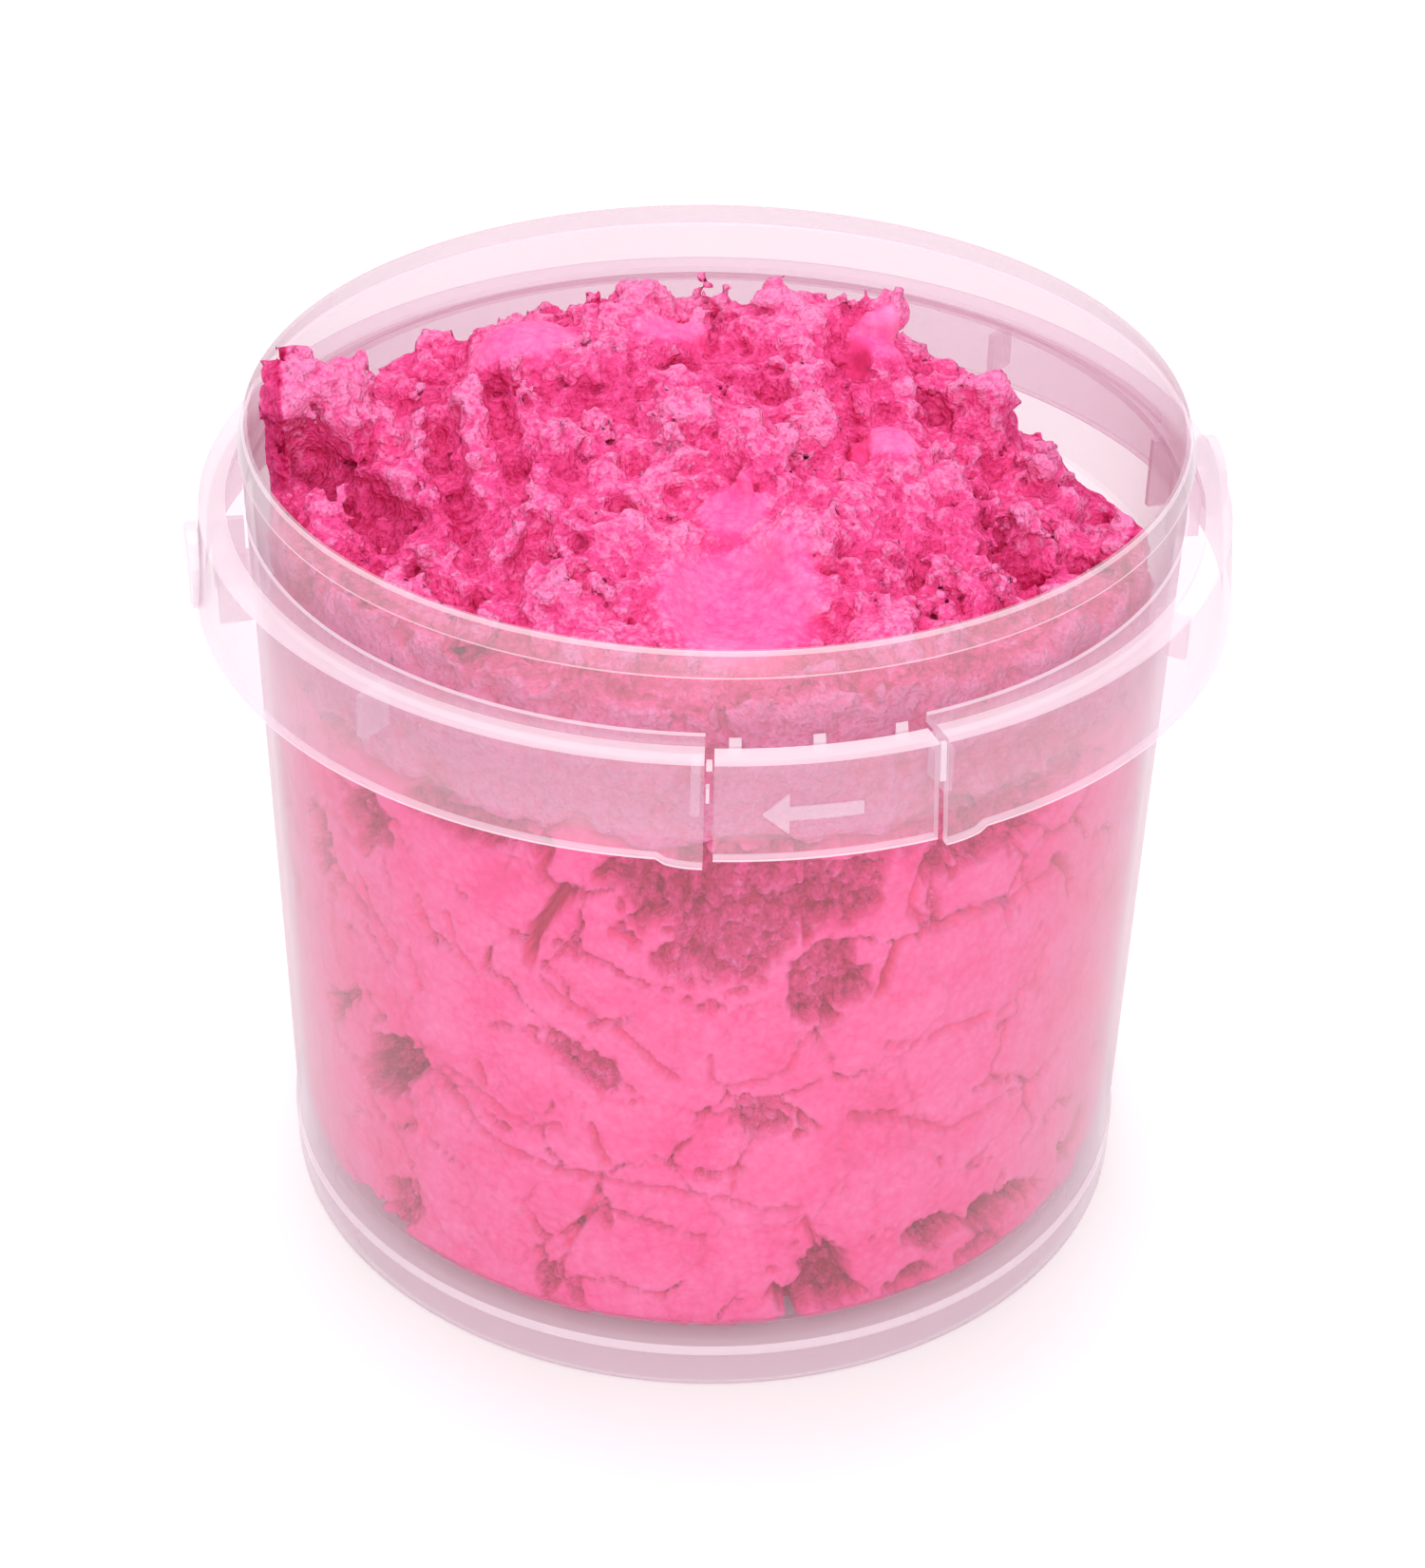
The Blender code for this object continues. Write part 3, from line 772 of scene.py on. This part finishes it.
def wall_distance(points, bent):
    """How far inside the wall a point is; the sand leaves loose pockets there, and none over the rim."""
    z = points[:, 2]
    pocket = np.maximum(0.0, octaves(points, (2.6, 8.0, 21), (1.2, 3.4, 22)) + 0.2)
    pocket += ramp(pocket, 0.1, 1.0) * (0.9 * (0.5 - grains(bent, 2.4, 23)))
    over_rim = ramp(z, RIM_Z + 0.2, RIM_Z + 1.6)
    limit = inner_radius(z) - RIM_CLEAR - 0.8 * pocket * (1.0 - over_rim) + over_rim * OVERHANG
    loose = 2.4 * (grains(bent, 4.4, 24) - 0.36) + 1.5 * (grains(points, 2.0, 25) - 0.30)
    return limit - np.hypot(points[:, 0], points[:, 1]) + np.minimum(loose, 0.0) * (1.0 - over_rim)


def heap_field(points, base):
    """Positive inside the sand, in millimetres; base is the same for the heap's smooth surface."""
    warp, bent = bend(points)
    clods, crumbs = clods_and_crumbs(points, warp, bent)
    clods = 2.9 * (clods - 0.34)
    crumbs = 2.3 * (crumbs - 0.32)
    rough = 1.0 - patch_mask(points[:, 0] + 0.7 * warp[:, 0], points[:, 1] + 0.7 * warp[:, 1])
    relief = 4.8 * chunks(bent) + clods + crumbs + octaves(points, (1.2, 13.0, 7), (0.3, 1.0, 14))
    field = smooth_body(bent, base) + rough * relief
    field += (1.0 - rough) * 0.2 * smooth_noise(points, 2.6, 15)
    crumbly = 0.5 * clods + 0.6 * crumbs
    falls = [(bent - point) @ np.array(inward) for point, inward in RIGHT_SLOPES]
    field = np.minimum(field, hollow_distance(bent) + crumbly - 0.2)
    field = np.minimum(field, np.maximum(*falls) + crumbly)
    field = np.minimum(field, side_distance(points, bent) + 0.7 * clods + 0.6 * crumbs)
    return np.minimum(field, wall_distance(points, bent))


def heap_grid():
    """The heap's field on a grid, worked out in full only near the skin, and the grid's first corner."""
    axis = np.arange(-GRID_REACH, GRID_REACH + VOXEL, VOXEL)
    levels = UNDERSIDE_Z + VOXEL * np.arange(-2, (GRID_TOP - UNDERSIDE_Z) / VOXEL)
    gx, gy = np.meshgrid(axis, axis, indexing="ij")
    height = heap_height(*spin(gx, gy, VIEW_TURN))
    slope = np.sqrt(1.0 + sum(part ** 2 for part in np.gradient(height, VOXEL)))
    base = (height[:, :, None] - levels) / slope[:, :, None]
    radial = np.hypot(gx, gy)[:, :, None]
    field = np.where((base > 0) & (radial < CORE_R), INSIDE, OUTSIDE)
    by_slab = (levels > 100) & (gx[:, :, None] < -36)
    crumbly = (np.abs(base) < SKIN) | ((radial > CORE_R) & (base > -SKIN)) | by_slab
    near = crumbly & (radial < GRID_REACH)
    i, j, k = np.nonzero(near)
    points = view_points(np.stack((axis[i], axis[j], levels[k]), axis=1))
    field[near] = heap_field(points, base[near])
    bottom = seam_height(gx.ravel(), gy.ravel()).reshape(gx.shape)
    field = np.minimum(field, levels - bottom[:, :, None])
    field[[0, -1]] = field[:, [0, -1]] = OUTSIDE
    field[:, :, [0, -1]] = OUTSIDE
    return field, np.array((axis[0], axis[0], levels[0]))


CELL_CORNERS = list(itertools.product((0, 1), repeat=3))


def crossed_cells(inside):
    """The cells that have corners both inside and outside."""
    nx, ny, nz = np.array(inside.shape) - 1
    count = np.zeros((nx, ny, nz), int)
    for dx, dy, dz in CELL_CORNERS:
        count += inside[dx:nx + dx, dy:ny + dy, dz:nz + dz]
    return np.argwhere((count > 0) & (count < len(CELL_CORNERS)))


def cell_vertices(field, cells):
    """One vertex in each cell: the mean of the places where the cell's edges cross zero, in grid steps."""
    total, hits = np.zeros((len(cells), 3)), np.zeros(len(cells))
    for start in CELL_CORNERS:
        for axis in range(3):
            if start[axis]:
                continue
            along = np.eye(3, dtype=int)[axis]
            here = field[tuple((cells + start).T)]
            there = field[tuple((cells + start + along).T)]
            crossed = (here > 0) != (there > 0)
            t = np.where(crossed, here / np.where(crossed, here - there, 1.0), 0.0)
            total += np.where(crossed[:, None], start + t[:, None] * along, 0.0)
            hits += crossed
    return cells + total / hits[:, None]


def crossing_quads(inside, number, axis):
    """A quad round each grid edge along an axis that crosses zero, between the four cells that share it."""
    u, v = (axis + 1) % 3, (axis + 2) % 3
    here = inside[tuple(slice(0, -1) if n == axis else slice(None) for n in range(3))]
    there = inside[tuple(slice(1, None) if n == axis else slice(None) for n in range(3))]
    edges = np.argwhere(here != there)
    edges = edges[(edges[:, u] > 0) & (edges[:, v] > 0)]
    edges = edges[(edges[:, u] < number.shape[u]) & (edges[:, v] < number.shape[v])]
    steps = np.zeros((4, 3), int)
    steps[1, u] = steps[2, u] = -1
    steps[2, v] = steps[3, v] = -1
    quads = np.stack([number[tuple((edges + step).T)] for step in steps], axis=1)
    flip = ~here[tuple(edges.T)]
    quads[flip] = quads[flip][:, ::-1]
    return quads


def surface_net(field, origin):
    """Quads round the zero level of a grid, with one vertex in each cell that the level crosses."""
    inside = field > 0
    cells = crossed_cells(inside)
    number = np.full(np.array(field.shape) - 1, -1)
    number[tuple(cells.T)] = np.arange(len(cells))
    verts = origin + VOXEL * cell_vertices(field, cells)
    return verts, np.concatenate([crossing_quads(inside, number, axis) for axis in range(3)])


def quad_edges(quads):
    return np.concatenate([quads[:, [n, (n + 1) % 4]] for n in range(4)])


def largest_body(count, quads):
    """True for the vertices of the biggest connected piece."""
    label = np.arange(count)
    first, second = quad_edges(quads).T
    while True:
        low = np.minimum(label[first], label[second])
        fresh = label.copy()
        np.minimum.at(fresh, first, low)
        np.minimum.at(fresh, second, low)
        fresh = fresh[fresh]
        fresh = fresh[fresh]
        if (fresh == label).all():
            return label == np.bincount(label).argmax()
        label = fresh


def drop_unused(verts, *face_sets):
    """Leaves out the vertices that no face uses, and renumbers the faces."""
    used = np.zeros(len(verts), bool)
    for faces in face_sets:
        used[faces.ravel()] = True
    number = np.cumsum(used) - 1
    return (verts[used], *(number[faces] for faces in face_sets))


def flatten_underside(verts, quads):
    """The hidden flat underside becomes one fan of triangles."""
    hidden = (np.hypot(verts[:, 0], verts[:, 1]) < UNDERSIDE_R) & (verts[:, 2] < UNDERSIDE_Z + 0.01)
    under = hidden[quads].all(axis=1)
    edges = quad_edges(quads[under])
    keys = edges.min(axis=1) * len(verts) + edges.max(axis=1)
    where, times = np.unique(keys, return_index=True, return_counts=True)[1:]
    border = edges[where[times == 1]]
    fan = np.column_stack((border, np.full(len(border), len(verts))))
    verts = np.concatenate((verts, [(0.0, 0.0, UNDERSIDE_Z)]))
    return drop_unused(verts, quads[~under], fan)


def heap_tone(verts):
    """Painted shade for each vertex, by how deep in a gap it sits, and how smooth it was pressed."""
    points = view_points(verts)
    x, y, z = points.T
    warp, bent = bend(points)
    clods, crumbs = clods_and_crumbs(points, warp, bent)
    pressed = patch_mask(x, y)
    wall_gap = inner_radius(z) - RIM_CLEAR - np.hypot(x, y)
    by_wall = wall_gap < 4.0
    # painted shade: darker where the sand stands back from the wall, and below the heap's smooth surface
    depth = np.clip(np.where(by_wall, wall_gap - 1.6, 0.3 * (heap_height(x, y) - z)), -1.9, 3.0)
    # painted shade in the pits and crevices
    depth += 3.4 * (1.0 - ramp(hollow_distance(points), -2.0, 0.8)) + 0.25 * pressed - 0.65
    # painted shade at the left, below the slab
    depth += 0.9 * ramp(-x, 34.0, 46.0) * ramp(z, 104.0, 108.0)
    # painted shade in the gaps between crumbs, clods and chunks, less on pressed patches
    fine = 1.5 * (0.3 - crumbs) + 1.6 * (0.3 - clods)
    depth += (1.0 - pressed) * (fine - 1.7 * np.where(by_wall, 0.0, chunks(bent)))
    return depth, pressed


def make_heap():
    verts, quads = surface_net(*heap_grid())
    verts, quads = drop_unused(verts, quads[largest_body(len(verts), quads)[quads[:, 0]]])
    verts, quads, fan = flatten_underside(verts, quads)
    heap = sand_object("sand_top", verts, quads, *heap_tone(verts), fan)
    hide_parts("sand_heap", "sand_clump_left", "sand_clump_right", "sand_clump_top")
    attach(heap, "sand")


# -------------------------------- sand: fill

FRONT_COLUMNS, BACK_COLUMNS, FILL_ROWS = ((440, 230, 140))
FILL_COLUMNS = FRONT_COLUMNS + BACK_COLUMNS
FRONT_HALF = 74.0                      # the columns are closer together within this angle of the camera
KNOWN_FRONT, KNOWN_FADE = 62.0, 12.0   # the pattern of the back fades in beyond this angle
FILL_R = 57.3                          # radius at which one degree is one millimetre
FILL_BOTTOM = FLOOR_Z + 0.35
FILL_CLEAR = 0.25
CAP_RINGS = (0.9, 0.6, 0.3, 0.02)      # shares of the radius of the rings in the hidden top and bottom
CAP_TONE, CAP_PRESSED = 0.3, 0.8

# cracks seen through the wall: half width and depth in mm, then (degrees right of the camera, height)
CRACKS = [
    (0.9, 3.5, [(-17, 77), (-19.5, 73), (-21, 70), (-21.5, 65)]),
    (0.7, 2.5, [(-19, 82), (-20, 79), (-17, 76)]),
    (0.35, 1.5, [(-20, 63), (-15, 58.5), (-10, 56.5), (-6, 53), (-3, 50)]),
    (0.6, 2.0, [(-11, 72), (-8, 71)]),
    (0.25, 1.0, [(1, 54), (1, 50), (3, 49), (8, 49.5), (11, 51), (12, 54), (14, 57)]),
    (0.8, 3.0, [(24, 68), (23, 66), (22, 61.5)]),
    (0.4, 1.5, [(24, 68), (27, 69), (35, 69), (40, 68), (50, 70)]),
    (0.7, 2.5, [(48, 71), (51, 68), (53, 64)]),
    (0.3, 1.2, [(23, 53), (28, 51.5), (42, 51), (47, 52), (48, 57)]),
    (0.5, 2.2, [(19, 42.5), (22, 41), (25, 40)]),
    (0.3, 1.2, [(25, 40), (29, 38), (33, 35), (43, 36), (47, 35), (56, 37)]),
    (0.5, 2.0, [(-30, 46), (-29, 43)]),
    (0.35, 1.3, [(-35, 43), (-31, 42), (-26, 39), (-22, 38), (-19, 40)]),
    (0.4, 1.6, [(-38, 41), (-31, 37), (-26, 34), (-20, 32.5), (-13, 32), (3, 31)]),
    (0.5, 1.8, [(-14, 41), (-13.5, 38), (-12.5, 35)]), (0.25, 1.0, [(4, 32), (4.5, 36), (6, 40), (8, 42)]),
    (0.3, 1.2, [(4, 30), (7, 28.5), (13, 28.5)]), (0.4, 1.5, [(13, 26), (15, 22), (19, 19)]),
    (0.4, 1.6, [(-38, 68), (-36, 63)]), (0.4, 1.4, [(-49, 66), (-47, 61), (-43, 58)]),
    (0.35, 1.4, [(-57, 58), (-58, 52), (-55, 47)]), (0.4, 1.4, [(38, 80), (42, 75), (43, 71)]),
    (0.3, 1.0, [(39, 68), (41, 63)]), (0.4, 1.4, [(26, 79), (25, 74), (27, 71)]),
    (0.3, 1.0, [(-40, 58), (-39, 53)]), (0.3, 1.1, [(-13, 30), (-17, 22), (-19, 14), (-21, 9)]),
    (0.3, 1.0, [(-34, 68), (-33, 64), (-30, 61)]),
]
# rough hollows: middle as (degrees, height), half sizes in mm, turn in degrees, depth in mm
POCKETS = [
    (15, 14.5, 7, 6, 20, 4.5), (33, 18.5, 5, 2.5, -10, 3.5), (45, 16.5, 8, 3.5, -8, 4.0),
    (-46, 37, 9, 4.2, 42, 4.0), (-57, 41, 7, 2.5, 35, 2.5), (-44, 14, 3, 7, -30, 1.2),
    (-20, 14, 2, 4, -20, 2.0), (30, 11, 4, 2.5, 0, 2.5), (40, 11, 5, 2.5, 0, 2.5), (-52, 9, 6, 2.5, 0, 2.5),
    (5, 78, 15, 8, 0, 1.6), (3, 70, 9, 7, 0, 1.2), (14, 64, 6, 6, -50, 1.8), (-2, 79, 4, 6, 0, 2.5),
    (-47, 76, 6, 5, 0, 2.2), (35, 81, 9, 4, 0, 2.0), (-30, 83, 12, 3, 0, 2.2), (-9, 81, 5, 3, 0, 2.2),
    (-58, 66, 5, 7, 20, 1.8), (63, 17, 5, 4, 0, 3.0), (-14, 50, 7, 3, -30, 1.2), (8, 43, 5, 2, -20, 1.2),
]


def view_polar(radius, degrees, z):
    """Arrays x, y, z of points at an angle from the camera's heading."""
    a = np.radians(degrees)
    x, y = from_view(radius * np.sin(a), -radius * np.cos(a))
    return np.stack((x, y, z + np.zeros_like(x)), axis=1)


def path_distance(u, v, path):
    best = np.full(len(u), 99.0)
    for (u0, v0), (u1, v1) in zip(path, path[1:]):
        du, dv = u1 - u0, v1 - v0
        t = np.clip(((u - u0) * du + (v - v0) * dv) / (du * du + dv * dv), 0.0, 1.0)
        best = np.minimum(best, np.hypot(u - u0 - t * du, v - v0 - t * dv))
    return best


def plate_relief(points, bent, front):
    """Plates pressed against the wall, with gaps, chips and worn places: depth and roughness."""
    stretched = bent * (1.0, 1.0, 1.35)
    border, plate = grain_borders(stretched, 16.0, 81)
    chip_border, chip = grain_borders(stretched + octaves(points, (0.8, 1.1, 99))[:, None], 6.5, 80)
    chipped = ramp(octaves(points, (1.0, 10.0, 79), (0.5, 4.0, 78)), -0.1, 0.35)
    open_gaps = ramp(smooth_noise(points, 12.0, 83), -0.5, 0.4) * (1.0 - 0.6 * front)
    ragged = octaves(points, (1.0, 9.0, 95), (0.8, 3.0, 96), (0.5, 1.2, 94))
    worn = ramp(ragged - 2.0 * ramp(border, 0.0, 0.12), -0.1, 0.3)
    depth = 0.45 * plate + 0.2 * smooth_noise(points, 7.0, 82) + 0.5 * worn
    depth += chipped * (0.28 * chip + 0.4 * (1.0 - ramp(chip_border, 0.0, 0.06)))
    depth += 1.3 * open_gaps * (1.0 - ramp(border, 0.0, 0.04))
    return depth, 0.8 * worn


def crack_depth(points, u, v):
    ripple = 0.3 * smooth_noise(points, 1.1, 84)
    total = np.zeros(len(points))
    for half, deep, path in CRACKS:
        total += deep * (1.0 - ramp(path_distance(u, v, path) + ripple, 0.5 * half, half + 0.12))
    return total


def pocket_relief(points, u, v):
    """Ragged ellipses where the sand is loose: depth and roughness."""
    ragged = octaves(points, (0.42, 3.6, 85), (0.3, 1.3, 97))
    depth, rough = np.zeros(len(points)), np.zeros(len(points))
    for middle_u, middle_v, wide, tall, turn, deep in POCKETS:
        du, dv = spin(u - middle_u, v - middle_v, math.radians(turn))
        mask = 1.0 - ramp(np.hypot(du / wide, dv / tall) + ragged, 0.75, 1.0)
        depth = np.maximum(depth, mask * deep)
        rough = np.maximum(rough, mask)
    return depth, rough


def fill_relief(angle, z):
    """How far the sand stands back from the wall, how rough it is, and its painted shade, darker where it
    stands back and between crumbs, with a random tone.
    """
    points = view_polar(FILL_R, angle, z)
    warp_u = octaves(points, (1.3, 6.0, 71), (0.5, 1.8, 72))
    warp_v = octaves(points, (1.3, 6.0, 73), (0.5, 1.8, 74))
    bent = points + 1.4 * np.stack((warp_u, warp_v, warp_v), axis=1)
    u, v = angle + 0.5 * warp_u, z + 0.5 * warp_v
    from_camera = np.abs((angle + 180.0) % 360.0 - 180.0)
    front = 1.0 - ramp(from_camera, KNOWN_FRONT, KNOWN_FRONT + KNOWN_FADE)
    depth, rough = plate_relief(points, bent, front)
    depth += crack_depth(points, u, v)
    far = (1.0 - front) * ramp(octaves(points, (1.0, 11.0, 86), (0.5, 5.0, 87), (0.4, 1.8, 93)), 0.34, 0.62)
    top = ramp(z, 79.0, 85.0) * ramp(smooth_noise(points, 8.0, 88), -0.4, 0.3)
    pocket, loose = pocket_relief(points, u, v)
    depth = np.maximum.reduce((depth, pocket, 1.8 * far))
    rough = np.maximum.reduce((rough, loose, far, top))
    undercut = FLOOR_Z + 0.3 + np.abs(1.4 * smooth_noise(points, 10.0, 89))
    depth += 0.6 * (1.0 - ramp(z, undercut, FLOOR_Z + 2.6))
    rough = rough * (0.25 + 0.75 * ramp(z, FLOOR_Z + 0.5, FLOOR_Z + 3.0))
    fine = 0.42 - grains(points, 1.6, 91)
    crumbs = 2.2 * (0.45 - grains(bent, 3.2, 90)) + 1.9 * fine
    depth += rough * crumbs + 0.05 * smooth_noise(points, 1.2, 92)
    # painted shade where the sand stands back from the wall and between crumbs, with a random tone
    tone = 0.62 * depth + 1.5 * rough * fine + 0.35 * smooth_noise(points, 4.0, 98) - 0.55
    return np.clip(depth, 0.0, 8.0), rough, tone


def fill_columns():
    """Angles of the columns, counted from the camera's heading."""
    front = np.linspace(-FRONT_HALF, FRONT_HALF, FRONT_COLUMNS)
    back = np.linspace(FRONT_HALF, 360.0 - FRONT_HALF, BACK_COLUMNS + 2)[1:-1]
    return np.concatenate((front, back))


def ring_band(low, high):
    """Quads between two rings of columns, whose first vertices are low and high."""
    around = np.arange(FILL_COLUMNS)
    ahead = (around + 1) % FILL_COLUMNS
    return np.stack((low + around, low + ahead, high + ahead, high + around), axis=1)


def fill_quads():
    """The side's rows, then the rings that run inwards over the bottom and over the top."""
    rings = np.arange(FILL_ROWS + 2 * len(CAP_RINGS)) * FILL_COLUMNS
    side = rings[:FILL_ROWS]
    bottom = [side[0], *rings[FILL_ROWS:FILL_ROWS + len(CAP_RINGS)]]
    top = [side[-1], *rings[FILL_ROWS + len(CAP_RINGS):]]
    bands = [ring_band(low, high) for low, high in zip(side, side[1:])]
    bands += [ring_band(inner, outer) for outer, inner in zip(bottom, bottom[1:])]
    bands += [ring_band(outer, inner) for outer, inner in zip(top, top[1:])]
    return np.concatenate(bands)


def make_fill():
    columns = fill_columns()
    tops = seam_height(*view_polar(57.0, columns, 0.0)[:, :2].T) - 0.3
    share = np.linspace(0.0, 1.0, FILL_ROWS)[:, None]
    z = FILL_BOTTOM + share * (tops - FILL_BOTTOM)
    angle = np.broadcast_to(columns, z.shape)
    depth, rough, tone = fill_relief(angle.ravel(), z.ravel())
    foot_round = 1.0 - ramp(z, FILL_BOTTOM, FILL_BOTTOM + 3.0)
    radius = inner_radius(z) - FILL_CLEAR - depth.reshape(z.shape) - 0.7 * foot_round ** 2
    rings = [view_polar(radius.ravel(), angle.ravel(), z.ravel())]
    for end in (0, -1):
        rings += [view_polar(radius[end] * part, columns, z[end]) for part in CAP_RINGS]
    cap = np.ones(2 * len(CAP_RINGS) * FILL_COLUMNS)
    tone = np.concatenate((tone, CAP_TONE * cap))
    pressed = np.concatenate((1.0 - rough, CAP_PRESSED * cap))
    # the tone, with its painted shade, goes into the depth attribute
    fill = sand_object("sand_body", np.concatenate(rings), fill_quads(), tone, pressed)
    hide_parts("sand_fill")
    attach(fill, "sand")


# -------------------------------- studio

EYE, TARGET = (0.0, -369.8, 306.8), (0.34, 0.0, 55.05)   # in mm, turned with the camera's heading
ROLL = math.radians(1.188)
LENS, SENSOR = 75.86, 36.0
LIGHT_TARGET = Vector((0, 0, 0.06))
WORLD_STRENGTH = 0.84
FLOOR_HALF = 3.0
FLOOR_COLOUR = (0.985, 0.985, 0.985, 1.0)


def turned(x, y, z):
    """A place in metres from (right, away, height) in millimetres."""
    return Vector((*from_view(x, y), z)) * MM


def make_camera():
    eye = turned(*EYE)
    forward = (turned(*TARGET) - eye).normalized()
    level = forward.cross(Vector((0, 0, 1))).normalized()
    upright = level.cross(forward)
    right = level * math.cos(ROLL) + upright * math.sin(ROLL)
    up = upright * math.cos(ROLL) - level * math.sin(ROLL)
    camera = bpy.data.cameras.new("camera")
    camera.sensor_fit = "VERTICAL"
    camera.sensor_height = SENSOR
    camera.lens = LENS
    camera.clip_start = 0.01
    obj = add_object("camera", camera)
    rows = [(right[n], up[n], -forward[n], eye[n]) for n in range(3)]
    obj.matrix_world = Matrix((*rows, (0, 0, 0, 1)))
    bpy.context.scene.camera = obj


def area_light(name, place, size, power):
    light = bpy.data.lights.new(name, "AREA")
    light.shape = "DISK"
    light.size = size
    light.energy = power
    obj = add_object(name, light)
    obj.location = place
    obj.rotation_euler = (LIGHT_TARGET - place).to_track_quat("-Z", "Y").to_euler()


def make_world():
    world = bpy.data.worlds.new("studio")
    bpy.context.scene.world = world
    world.use_nodes = True
    background = world.node_tree.nodes["Background"]
    background.inputs["Color"].default_value = (1.0, 1.0, 1.0, 1.0)
    background.inputs["Strength"].default_value = WORLD_STRENGTH


def make_floor():
    bm = bmesh.new()
    bmesh.ops.create_grid(bm, x_segments=1, y_segments=1, size=FLOOR_HALF)
    mesh = bpy.data.meshes.new("floor")
    bm.to_mesh(mesh)
    bm.free()
    mat = bpy.data.materials.new("floor_white")
    mat.use_nodes = True
    shader = mat.node_tree.nodes["Principled BSDF"]
    shader.inputs["Base Color"].default_value = FLOOR_COLOUR
    shader.inputs["Roughness"].default_value = 0.9
    mesh.materials.append(mat)
    floor = add_object("floor", mesh)


def make_studio():
    scene = bpy.context.scene
    scene.view_settings.view_transform = "Standard"
    scene.cycles.transparent_max_bounces = 40
    make_world()
    area_light("key_light", turned(10, -1000, 850), 0.7, 6.5)
    area_light("top_light", turned(-30, 240, 1100), 0.5, 4.2)
    make_floor()


make_tub()
make_collar()
make_tab()
keep_cad_pieces()
make_heap()
make_fill()
make_camera()
make_studio()
